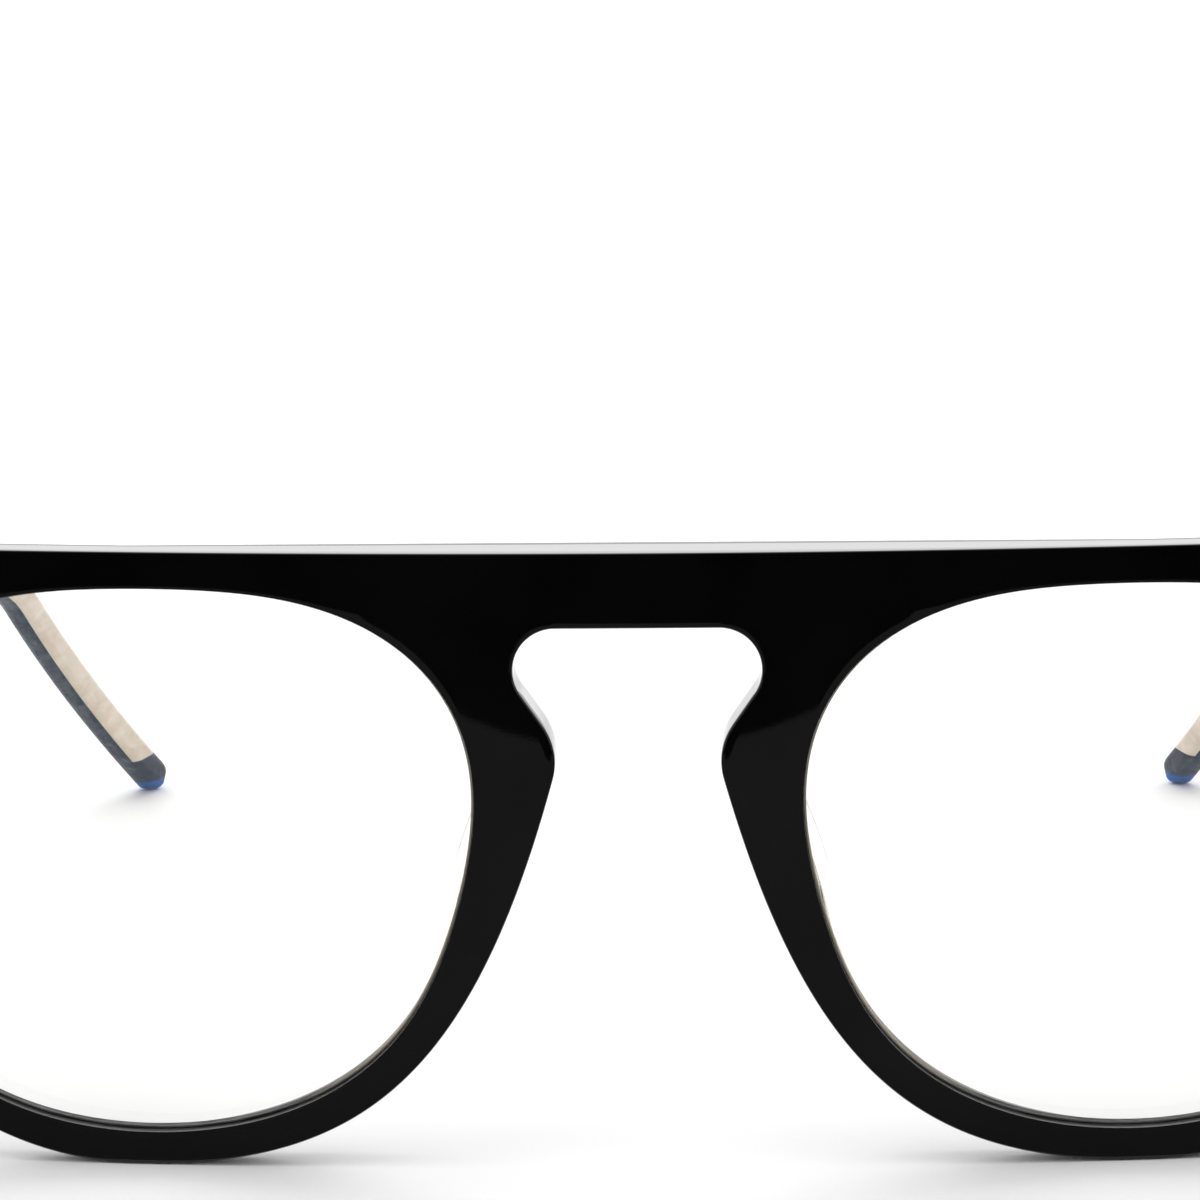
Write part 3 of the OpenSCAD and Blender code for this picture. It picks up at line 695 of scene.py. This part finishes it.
class EyewearLooks(bpy.types.PropertyGroup):
    """Colours of the acetate and the lenses"""

    black: bpy.props.FloatVectorProperty(
        name="Front",
        description="Colour of the front's acetate",
        default=(0.0012, 0.0012, 0.0016),
        subtype="COLOR",
        **COLOUR,
    )
    navy: bpy.props.FloatVectorProperty(
        name="Navy",
        description="Darkest tone of the temples' outer layer",
        default=(0.009, 0.018, 0.038),
        subtype="COLOR",
        **COLOUR,
    )
    slate: bpy.props.FloatVectorProperty(
        name="Slate",
        description="Lighter tone of the temples' outer layer",
        default=(0.034, 0.051, 0.068),
        subtype="COLOR",
        **COLOUR,
    )
    beige: bpy.props.FloatVectorProperty(
        name="Beige",
        description="Colour of the temples' inner layer",
        default=(0.6, 0.5, 0.39),
        subtype="COLOR",
        **COLOUR,
    )
    # Painted glow of light shining through the lowest end of each temple
    tip_glow: bpy.props.FloatVectorProperty(
        name="Tip",
        description="Colour of the lowest end of each temple",
        default=(0.015, 0.11, 0.36),
        subtype="COLOR",
        **COLOUR,
    )
    lens_tint: bpy.props.FloatVectorProperty(
        name="Lens tint",
        description="Colour that a lens gives to what is seen through it",
        default=(0.995, 0.995, 0.985),
        subtype="COLOR",
        **COLOUR,
    )


class EyewearEdges(bpy.types.PropertyGroup):
    """Radii of the polished edges"""

    front_edge: bpy.props.FloatProperty(
        name="Front edges",
        description="Radius of the polished edges on the front surface",
        default=0.0003,
        min=0.0001,
        max=0.001,
        subtype="DISTANCE",
        precision=5,
    )
    lens_edge: bpy.props.FloatProperty(
        name="Lens edges",
        description="Radius of the lens openings' edges on the front surface",
        default=0.00005,
        min=0.00002,
        max=0.0006,
        subtype="DISTANCE",
        precision=5,
    )
    back_edge: bpy.props.FloatProperty(
        name="Back edges",
        description="Radius of the outline's edges on the back surface",
        default=0.00045,
        min=0.0001,
        max=0.0012,
        subtype="DISTANCE",
        precision=5,
    )
    groove_edge: bpy.props.FloatProperty(
        name="Lens side edges",
        description="Radius of the lens openings' edges on the back surface",
        default=0.00035,
        min=0.0001,
        max=0.0008,
        subtype="DISTANCE",
        precision=5,
    )
    temple_edge: bpy.props.FloatProperty(
        name="Temple edges",
        description="Radius of the temples' long edges",
        default=0.00095,
        min=0.0002,
        max=0.00099,
        subtype="DISTANCE",
        precision=5,
    )
    metal_edge: bpy.props.FloatProperty(
        name="Metal edges",
        description="Radius of the edges of hinges, screws and rivets",
        default=0.00009,
        min=0.00002,
        max=0.00015,
        subtype="DISTANCE",
        precision=5,
    )


# Pieces


class EYEWEAR_OT_front(bpy.types.Operator):
    """Build the black front with its rounded edges, lens grooves and hinge blocks"""

    bl_idname = "eyewear.front"
    bl_label = "Front"

    def execute(self, context):
        edges = context.scene.eyewear_edges
        front_r, lens_r = edges.front_edge / MM, edges.lens_edge / MM
        back_r, groove_r = edges.back_edge / MM, edges.groove_edge / MM
        ring, out, angle, cut_share = ring_round_lens()
        hole, hole_out = opening(angle)
        grids = []
        for depth, r, hole_r, rows in (
            (lambda x, z: front_y(x), front_r, lens_r, FRONT_ROWS),
            (back_y, back_r, groove_r, BACK_ROWS),
        ):
            outer, inner = ring - out * r, hole + hole_out * hole_r
            grids += face_grids(outer, inner, cut_share, r, rows, depth)
        grids.append((outline_wall(ring, out, front_r, back_r), True))
        lip = groove_wall(hole, hole_out, lens_r, groove_r)
        # Rows of the opening walls that take the milled finish with its painted grey sheen
        milled_sheen_rows = (FILLET_STEPS, len(lip) - FILLET_STEPS - 1)
        grids += [(lip, True, milled_sheen_rows), (lip * MIRROR, True, milled_sheen_rows)]
        make_piece(
            "front_acetate",
            grids,
            "front",
            ["front_frame"],
            (black_acetate(context.scene.eyewear_looks), milled_wall_and_sheen()),
            sharp=50.0,
        )
        return {"FINISHED"}


class EYEWEAR_OT_lenses(bpy.types.Operator):
    """Build both clear lenses with the ridge that sits in the groove"""

    bl_idname = "eyewear.lenses"
    bl_label = "Lenses"

    def execute(self, context):
        looks = context.scene.eyewear_looks
        glass = clear_glass(
            "Clear coated lens",
            tint=tuple(looks.lens_tint),
            roughness=0.0,
            ior=1.5,
            haze=0.004,
            gloss=0.12,
        )
        ground = ground_edge()
        angle = np.linspace(0, 2 * math.pi, LENS_STEPS, endpoint=False)
        rim, out = opening(angle)
        centre = np.array([LENS_X, LENS_Z])
        # Rings from the middle out, closer together near the rim
        crowding = 1.3
        shares = 1 - (1 - np.linspace(0, 1, LENS_RINGS + 1)) ** crowding

        def on_sphere(points, radius):
            return laid(points, lambda x, z: lens_y(x, z, radius))

        def disc(radius, inset, order):
            """One face: the rim drawn towards the middle, laid on a sphere."""
            edge = rim - out * (GROOVE_GAP + inset)
            return on_sphere(centre + (edge - centre) * order[:, None, None], radius)

        def ring(proud, radius):
            """One row of the edge: the rim moved out by proud, laid on a sphere."""
            return on_sphere(rim + out * proud, radius)[None]

        middle, chamfer = LENS_R - LENS_T / 2, 0.15
        bands = [
            disc(LENS_R, chamfer, shares),
            ring(-GROOVE_GAP, LENS_R - chamfer),
            ring(-GROOVE_GAP, middle + RIDGE_T / 2),
            ring(RIDGE_H, middle + RIDGE_TOP / 2),
            ring(RIDGE_H, middle - RIDGE_TOP / 2),
            ring(-GROOVE_GAP, middle - RIDGE_T / 2),
            ring(-GROOVE_GAP, LENS_R - LENS_T + chamfer),
            disc(LENS_R - LENS_T, chamfer, shares[::-1]),
        ]
        grid = np.concatenate(bands)
        edge = (LENS_RINGS, LENS_RINGS + len(bands) - 1)
        for side, flip in SIDES:
            make_piece(
                f"lens_glass_{side}",
                [(grid * flip, True, edge)],
                "front",
                [f"lens_{side}"],
                (glass, ground),
                sharp=25.0,
            )
        return {"FINISHED"}


class EYEWEAR_OT_nose_pads(bpy.types.Operator):
    """Build both clear nose pads on the back of the front"""

    bl_idname = "eyewear.nose_pads"
    bl_label = "Nose pads"

    def execute(self, context):
        # A fin: x = w (1 - rho^2)^(1/4) on both sides of a leaning middle sheet, where rho
        # and a are polar coordinates of the sheet's half oval. Below the root it is cut flat.
        _, flank = half_outline()
        a = np.linspace(0, 2 * math.pi, PAD_STEPS, endpoint=False)[None, :]
        q = np.linspace(-1, 1, PAD_ROWS)[:, None]
        rho = np.cos(q * math.pi / 2)
        depth = PAD_DEPTH * rho * np.maximum(np.sin(a), 0)
        along = PAD_LEN / 2 * rho * np.cos(a)
        half = PAD_ROOT_W / 2 + (PAD_EDGE_T - PAD_ROOT_W) / 2 * depth / PAD_DEPTH
        thick = half * np.maximum(1 - rho**2, 0) ** 0.25 * np.sign(q)
        lean = PAD_SPLAY * depth / (PAD_DEPTH - PAD_EDGE_T / 2)
        across = PAD_INSET + PAD_ROOT_W / 2 + lean + thick
        pad_z = LENS_Z - PAD_DROP
        flank_x = flank[0] + (flank[1] - pad_z) * math.tan(PAD_LEAN)
        x = flank_x + across * math.cos(PAD_LEAN) - along * math.sin(PAD_LEAN)
        z = pad_z + across * math.sin(PAD_LEAN) + along * math.cos(PAD_LEAN)
        root = back_y(x, z) + GLUE
        y = root + depth * (FRONT_T + PAD_DEPTH - root) / PAD_DEPTH
        grid = np.stack([x, y, z], -1)
        clear = clear_glass(
            "Clear pad acetate",
            tint=(0.985, 0.98, 0.96),
            roughness=0.02,
            ior=ACETATE_IOR,
            haze=0.03,
            gloss=0.5,
            root=(0.93, 0.86, 0.7),
        )
        for side, flip in SIDES:
            make_piece(
                f"pad_clear_{side}",
                [(grid * flip, True)],
                "front",
                [f"nose_pad_{side}"],
                clear,
                sharp=50.0,
            )
        return {"FINISHED"}


# Temple


BEND_START = SHAFT_LEN * np.array([math.cos(SHAFT_SLOPE), -math.sin(SHAFT_SLOPE)]) + (0, HINGE_Z)
BEND_C = BEND_START - BEND_R * np.array([math.sin(SHAFT_SLOPE), math.cos(SHAFT_SLOPE)])
BEND_END = BEND_C + BEND_R * np.array([math.sin(EAR_SLOPE), math.cos(EAR_SLOPE)])
BEND_LEN = BEND_R * (EAR_SLOPE - SHAFT_SLOPE)
TIP_R = TEMPLE_H[2] / 2
EAR_LEN = (BEND_END[1] - TIP_R) / math.sin(EAR_SLOPE)
TEMPLE_LEN = SHAFT_LEN + BEND_LEN + EAR_LEN
TEMPLE_FRONT = -HINGE_Y + FRONT_T


def temple_line(s):
    """Centre line of the temple in its side view, its fall and its half height: a straight
    shaft, a circular bend and a straight ear end."""
    bent = np.clip((s - SHAFT_LEN) / BEND_LEN, 0, 1)
    fall = SHAFT_SLOPE + (EAR_SLOPE - SHAFT_SLOPE) * bent
    before, after = np.minimum(s, SHAFT_LEN), np.maximum(s - SHAFT_LEN - BEND_LEN, 0)
    y = before * math.cos(SHAFT_SLOPE) + BEND_R * (np.sin(fall) - math.sin(SHAFT_SLOPE))
    z = HINGE_Z - before * math.sin(SHAFT_SLOPE) + BEND_R * (np.cos(fall) - math.cos(SHAFT_SLOPE))
    y = y + after * math.cos(EAR_SLOPE)
    z = z - after * math.sin(EAR_SLOPE)
    far = np.clip((s - SHAFT_LEN) / (TEMPLE_LEN - SHAFT_LEN), 0, 1)
    near = np.minimum(s / SHAFT_LEN, 1)
    height = TEMPLE_H[0] + (TEMPLE_H[1] - TEMPLE_H[0]) * near + (TEMPLE_H[2] - TEMPLE_H[1]) * far
    return y, z, fall, height / 2


def temple_thickness(y):
    """Thickness falls evenly from the hinge to the bend and stays the same from there."""
    t = np.clip((y - TEMPLE_FRONT) / (BEND_START[0] - TEMPLE_FRONT), 0, 1)
    return TEMPLE_T[0] + (TEMPLE_T[1] - TEMPLE_T[0]) * t


def temple_across(y, u):
    """X of a point that lies u shares of the thickness outside the inner face. Behind the
    bend the faces are circles about one centre, so the ear end curves inwards."""
    deep = u * temple_thickness(y)
    back = np.maximum(y - BEND_START[0], 0)
    return FACE_X - EAR_INWARD_R + np.sqrt((EAR_INWARD_R + deep) ** 2 - back**2)


def temple_to_world(x, y, z):
    """Turns the temple inwards about the hinge axis and sets it at the right hinge."""
    c, s = math.cos(SHAFT_INWARD), math.sin(SHAFT_INWARD)
    return np.stack([HINGE_X + x * c - y * s, HINGE_Y + x * s + y * c, z], -1)


def section(low, high, radius, thick, tall):
    """Closed outline of a layer between two shares of the thickness, cut from a rectangle
    with round corners: (u, v), u from 0 to 1 over the thickness and v from -1 to 1 over the
    height. At a depth d under a face, less than the radius r, the half height has lost
    r - sqrt(r^2 - (r - d)^2)."""
    a, b = low * thick, high * thick
    turn = np.linspace(0, 1, CORNER_STEPS + 1)
    first, last = (math.acos(1 - min(d, radius) / radius) for d in (a, b))
    near = radius * (1 - np.cos(first + (last - first) * turn))
    far = thick - radius * (1 - np.cos(math.pi / 2 * turn[::-1]))
    across = np.clip(np.r_[near, far], a, b)
    lost = np.maximum(radius - np.minimum(across, thick - across), 0)
    height = tall - radius + np.sqrt(np.maximum(radius**2 - lost**2, 0))
    flat = np.linspace(1, -1, FLAT_STEPS + 1)[1:-1]
    u = np.r_[across, b + 0 * flat, across[::-1], a + 0 * flat] / thick
    v = np.r_[height, height[-1] * flat, -height[::-1], -height[0] * flat] / tall
    return u, v


def butt_station(u, v):
    """Station where a line along the temple meets the butt face, a plane of constant Y,
    found by moving it six times by the distance that is left."""
    s = np.full_like(u, (BUTT_Y - HINGE_Y) / math.cos(SHAFT_INWARD))
    for _ in range(6):
        y, _, _, half = temple_line(s)
        y = y + v * half * math.sin(SHAFT_SLOPE)
        x = temple_across(y, u)
        world_y = HINGE_Y + x * math.sin(SHAFT_INWARD) + y * math.cos(SHAFT_INWARD)
        s = s + (BUTT_Y - world_y)
    return s


def cap_station(v):
    """Station where a line along the ear end comes down to the top of the dark cap, found
    by moving it eight times by the height that is left over the slope's sine."""
    s = np.full_like(v, TEMPLE_LEN - TIP_CAP_H)
    for _ in range(8):
        _, z, fall, half = temple_line(s)
        s = s + (z + v * half * np.cos(fall) - TIP_CAP_H) / math.sin(EAR_SLOPE)
    return s


def temple_points(s, u, v):
    """Points of the temple's surface from station, share of thickness and share of height."""
    y, z, fall, half = temple_line(s)
    y, z = y + v * half * np.sin(fall), z + v * half * np.cos(fall)
    return temple_to_world(temple_across(y, u), y, z)


def layer_grid(low, high, radius):
    """One layer of the temple from the butt face to the dark cap, closed at both ends. Its
    lines run evenly between their own stations at the two."""
    rows = []
    for share in np.linspace(0, 1, TEMPLE_STEPS + 1):
        y, _, _, half = temple_line(np.array(share * TEMPLE_LEN))
        u, v = section(low, high, radius, float(temple_thickness(y)), float(half))
        start, end = butt_station(u, v), cap_station(v)
        rows.append(temple_points(start + (end - start) * share, u, v))
    ends = [rows[0].mean(0, keepdims=True), rows[-1].mean(0, keepdims=True)]
    first = [ends[0] + (rows[0] - ends[0]) * k for k in (0, 0.5)]
    last = [ends[1] + (rows[-1] - ends[1]) * k for k in (0.5, 0)]
    return np.stack(first + rows + last)


def cap_grid(radius):
    """The dark cap: the whole section from the end of the layers to a rounded tip, a half
    circle seen from the side, over which the thickness falls as sqrt(1 - sin^4 t)."""
    rows = []
    u, v = section(0, 1, radius, TEMPLE_T[1], TIP_R)
    start = cap_station(v)
    for share in np.linspace(0, 1, CAP_STEPS + 1):
        rows.append(temple_points(start + (TEMPLE_LEN - start) * share, u, v))
    y0, z0, _, _ = temple_line(np.array(TEMPLE_LEN))
    for turn in np.linspace(0, math.pi / 2, TIP_STEPS + 1)[1:]:
        past, pad_reflection_share = TIP_R * math.sin(turn), TIP_R * v * math.cos(turn)
        y = y0 + past * math.cos(EAR_SLOPE) + pad_reflection_share * math.sin(EAR_SLOPE)
        z = z0 - past * math.sin(EAR_SLOPE) + pad_reflection_share * math.cos(EAR_SLOPE)
        narrow = 0.5 + (u - 0.5) * max(1 - math.sin(turn) ** 4, 0) ** 0.5
        rows.append(temple_to_world(temple_across(y, narrow), y, z))
    middle = rows[0].mean(0, keepdims=True)
    first = [middle + (rows[0] - middle) * k for k in (0, 0.5)]
    return np.stack(first + rows)


class EYEWEAR_OT_temples(bpy.types.Operator):
    """Build both laminated temples: a navy outer layer with its cap, and a beige inner one"""

    bl_idname = "eyewear.temples"
    bl_label = "Temples"

    def execute(self, context):
        looks, edges = context.scene.eyewear_looks, context.scene.eyewear_edges
        navy, beige = navy_acetate(looks), beige_acetate(looks)
        radius = edges.temple_edge / MM
        outer = [layer_grid(GLUE_PLANE, 1, radius), cap_grid(radius)]
        inner = [layer_grid(0, GLUE_PLANE, radius)]
        for side, flip in SIDES:
            for name, node, slot, finish, grids in (
                ("temple_navy", "temple_outer", "navy_acetate", navy, outer),
                ("temple_beige", "temple_inner", "beige_acetate", beige, inner),
            ):
                make_piece(
                    f"{name}_{side}",
                    [(grid * flip, True) for grid in grids],
                    f"temple_{side}",
                    [f"{node}_{side}"],
                    finish,
                )
        return {"FINISHED"}


class EYEWEAR_OT_hinges(bpy.types.Operator):
    """Round the edges of the hinge leaves, screws and rivets, and dress them as metal"""

    bl_idname = "eyewear.hinges"
    bl_label = "Hinges"

    def execute(self, context):
        width = context.scene.eyewear_edges.metal_edge
        leaf = metal("Hinge nickel silver", (0.62, 0.61, 0.58), 0.22, (1, 1, 6))
        pin = metal("Rivet nickel silver", (0.68, 0.67, 0.65), 0.25, (1, 1, 1))
        screw = metal("Turned screw steel", (0.72, 0.73, 0.74), 0.16, (6, 6, 1))
        wire = metal("Core wire", (0.6, 0.56, 0.48), 0.3, (4, 1, 4))
        for side, _ in SIDES:
            for node, body, slot, finish in (
                ("front_hinge", "front", "hinge_metal", leaf),
                ("temple_hinge", f"temple_{side}", "hinge_metal", leaf),
                ("front_rivets", "front", "rivet_metal", pin),
                ("temple_rivets", f"temple_{side}", "rivet_metal", pin),
                ("hinge_screw", "front", "screw_metal", screw),
            ):
                softened_copy(
                    f"{node}_{side}", f"{node}_metal_{side}", width, body, finish
                )
            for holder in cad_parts[f"temple_core_{side}"].material_slots:
                holder.link = "OBJECT"
                holder.material = wire
        return {"FINISHED"}


# Stage


class EYEWEAR_OT_stage(bpy.types.Operator):
    """Set the camera, the pale floor and the soft studio light"""

    bl_idname = "eyewear.stage"
    bl_label = "Stage"

    def execute(self, context):
        self.camera(context.scene)
        self.floor()
        self.cards()
        self.lights(context.scene)
        context.scene.view_settings.view_transform = "Standard"
        return {"FINISHED"}

    def camera(self, scene):
        """Yaw, pitch, roll, focal length in pixels and place, fitted to edges in the photo."""
        yaw, pitch, roll = map(math.radians, (-1.407, 10.988, -0.625))
        focal, frame_width, sensor = 6401, 1200, 36
        place = (0.0089, -0.4741, 0.1366)
        ahead = Vector(
            (math.sin(yaw) * math.cos(pitch), math.cos(yaw) * math.cos(pitch), -math.sin(pitch))
        )
        right = Vector((math.cos(yaw), -math.sin(yaw), 0))
        up = right.cross(ahead)
        c, s = math.cos(roll), math.sin(roll)
        right, up = c * right + s * up, c * up - s * right
        turn = Matrix((right, up, -ahead)).transposed().to_4x4()
        data = bpy.data.cameras.new("Camera")
        data.sensor_width, data.lens = sensor, sensor * focal / frame_width
        data.clip_start, data.clip_end = 0.01, 100
        camera = bpy.data.objects.new("Camera", data)
        camera.matrix_world = Matrix.Translation(place) @ turn
        scene.collection.objects.link(camera)
        scene.camera = camera

    def sheet(self, name, corners):
        """One flat face of the stage."""
        mesh = bpy.data.meshes.new(name)
        mesh.from_pydata(corners, [], [tuple(range(len(corners)))])
        flat = bpy.data.objects.new(name, mesh)
        bpy.context.scene.collection.objects.link(flat)
        return flat

    def plane(self, name, x, y, z):
        """A rectangle between two values of x, whose other sides lie at y[0], z[0] and y[1],
        z[1]."""
        ends = ((0, 0), (1, 0), (1, 1), (0, 1))
        return self.sheet(name, [(x[i], y[j], z[j]) for i, j in ends])

    def floor(self):
        """A pale matt floor just under the glasses."""
        drop, reach = -0.00002, (-4, 4)
        floor = self.plane("floor", reach, reach, (drop, drop))
        f = Finish("Pale floor")
        tone = f.ramp(f.noise(60, 3.0), (0.3, (0.925, 0.925, 0.93)), (0.7, (0.94, 0.94, 0.94)))
        f.surface(Base_Color=tone, Roughness=0.8, Specular_IOR_Level=0.1)
        floor.data.materials.append(f.material)

    def cards(self):
        """Grey and dark cards in front of the glasses and over the camera, seen only in gloss:
        glowing sheets that paint the reflections of a shaded floor and a dark room into the black
        front. The near card reaches from the front out to a curved edge, which shows in the rims as
        a painted reflection edge: a reach of 0.149 + 20 (x + 0.004)^2, at most 0.19. The glow falls
        to 0.7 of its level over the last 0.03 before the front, a painted shade in the reflection."""
        gap, height, steps = 0.0001, 0.0003, 200
        x = np.linspace(-0.5, 0.5, steps + 1)
        near = front_y(np.minimum(np.abs(x / MM), HALF_W)) * MM - gap
        far = -np.minimum(0.149 + 20 * (x + 0.004) ** 2, 0.19)
        edge = np.concatenate([np.stack([x, near], -1), np.stack([x, far], -1)[::-1]])
        near_reflection_card = self.sheet("near_reflection_card", [(*p, height) for p in edge.tolist()])
        # Each card glows only for glossy rays: a painted reflection, not a lamp
        for card, level in (
            (near_reflection_card, 0.19),
            (self.plane("far_reflection_card", (-3, 3), (-1.6, -0.1), (0.0001, 0.0001)), 0.004),
            (self.plane("dark_reflection_wall", (-3, 3), (-1.6, -1.6), (0, 2.4)), 0.01),
            (self.plane("dark_reflection_ceiling", (-3, 3), (-1.6, 0.3), (2.4, 2.4)), 0.01),
        ):
            for ray in ("camera", "diffuse", "transmission", "volume_scatter", "shadow"):
                setattr(card, f"visible_{ray}", False)
            f = Finish(card.name.replace("_", " ").capitalize())
            # Painted shade in the reflection: the glow dims over the last 0.03 before the front
            painted_reflection_glow = f.between(f.split()["Y"], -0.03, 0.0, level, 0.7 * level)
            f.surface(Base_Color=(0, 0, 0, 1), Specular_IOR_Level=0.0)
            f.surface(Emission_Color=(1, 0.98, 1, 1), Emission_Strength=painted_reflection_glow)
            card.data.materials.append(f.material)

    def lights(self, scene):
        """A white surround, a little dimmer for what it lights, and three soft lamps."""
        world = bpy.data.worlds.new("Studio")
        scene.world = world
        world.use_nodes = True
        tree = world.node_tree
        sky = tree.nodes["Background"]
        path = tree.nodes.new("ShaderNodeLightPath")
        seen = path.outputs["Is Camera Ray"]
        for ray in ("Is Transmission Ray", "Is Glossy Ray"):
            either = tree.nodes.new("ShaderNodeMath")
            either.operation = "MAXIMUM"
            tree.links.new(seen, either.inputs[0])
            tree.links.new(path.outputs[ray], either.inputs[1])
            seen = either.outputs[0]
        level = tree.nodes.new("ShaderNodeMapRange")
        level.inputs["To Min"].default_value = 0.82
        level.inputs["To Max"].default_value = 1.0
        tree.links.new(seen, level.inputs["Value"])
        tree.links.new(level.outputs[0], sky.inputs["Strength"])
        sky.inputs["Color"].default_value = (1, 1, 1, 1)
        for name, place, size, watts, in_gloss in (
            ("Back softbox", (0.1, 1.5, 0.75), (2.4, 1.0), 8.0, True),
            ("Back key", (0.1, 1.5, 0.7), (2.0, 0.8), 15.0, False),
            ("Top softbox", (-0.3, -0.1, 1.4), (1.2, 1.2), 4.5, False),
        ):
            data = bpy.data.lights.new(name, "AREA")
            data.shape, data.energy = "RECTANGLE", watts
            data.size, data.size_y = size
            lamp = bpy.data.objects.new(name, data)
            lamp.location = place
            lamp.rotation_euler = (-Vector(place)).to_track_quat("-Z", "Y").to_euler()
            lamp.visible_camera = lamp.visible_transmission = False
            lamp.visible_glossy = in_gloss
            scene.collection.objects.link(lamp)


class EYEWEAR_PT_panel(bpy.types.Panel):
    """Lists the settings and the operators in the sidebar"""

    bl_idname = "EYEWEAR_PT_panel"
    bl_label = "Eyeglasses"
    bl_space_type = "VIEW_3D"
    bl_region_type = "UI"
    bl_category = "Eyeglasses"

    def draw(self, context):
        layout = self.layout
        for group, heading in (
            (context.scene.eyewear_looks, "Colours"),
            (context.scene.eyewear_edges, "Edges"),
        ):
            box = layout.box()
            box.label(text=heading)
            for name in group.__annotations__:
                box.prop(group, name)
        for operator in BUILDERS:
            layout.operator(operator.bl_idname)


BUILDERS = (
    EYEWEAR_OT_front,
    EYEWEAR_OT_lenses,
    EYEWEAR_OT_nose_pads,
    EYEWEAR_OT_temples,
    EYEWEAR_OT_hinges,
    EYEWEAR_OT_stage,
)
CLASSES = (EyewearLooks, EyewearEdges, *BUILDERS, EYEWEAR_PT_panel)


def register():
    for cls in CLASSES:
        bpy.utils.register_class(cls)
    bpy.types.Scene.eyewear_looks = bpy.props.PointerProperty(type=EyewearLooks)
    bpy.types.Scene.eyewear_edges = bpy.props.PointerProperty(type=EyewearEdges)


def unregister():
    del bpy.types.Scene.eyewear_edges
    del bpy.types.Scene.eyewear_looks
    for cls in reversed(CLASSES):
        bpy.utils.unregister_class(cls)


def main():
    """Builds every piece and the stage in order."""
    register()
    bpy.ops.eyewear.front()
    bpy.ops.eyewear.lenses()
    bpy.ops.eyewear.nose_pads()
    bpy.ops.eyewear.temples()
    bpy.ops.eyewear.hinges()
    bpy.ops.eyewear.stage()


if __name__ == "__main__":
    main()
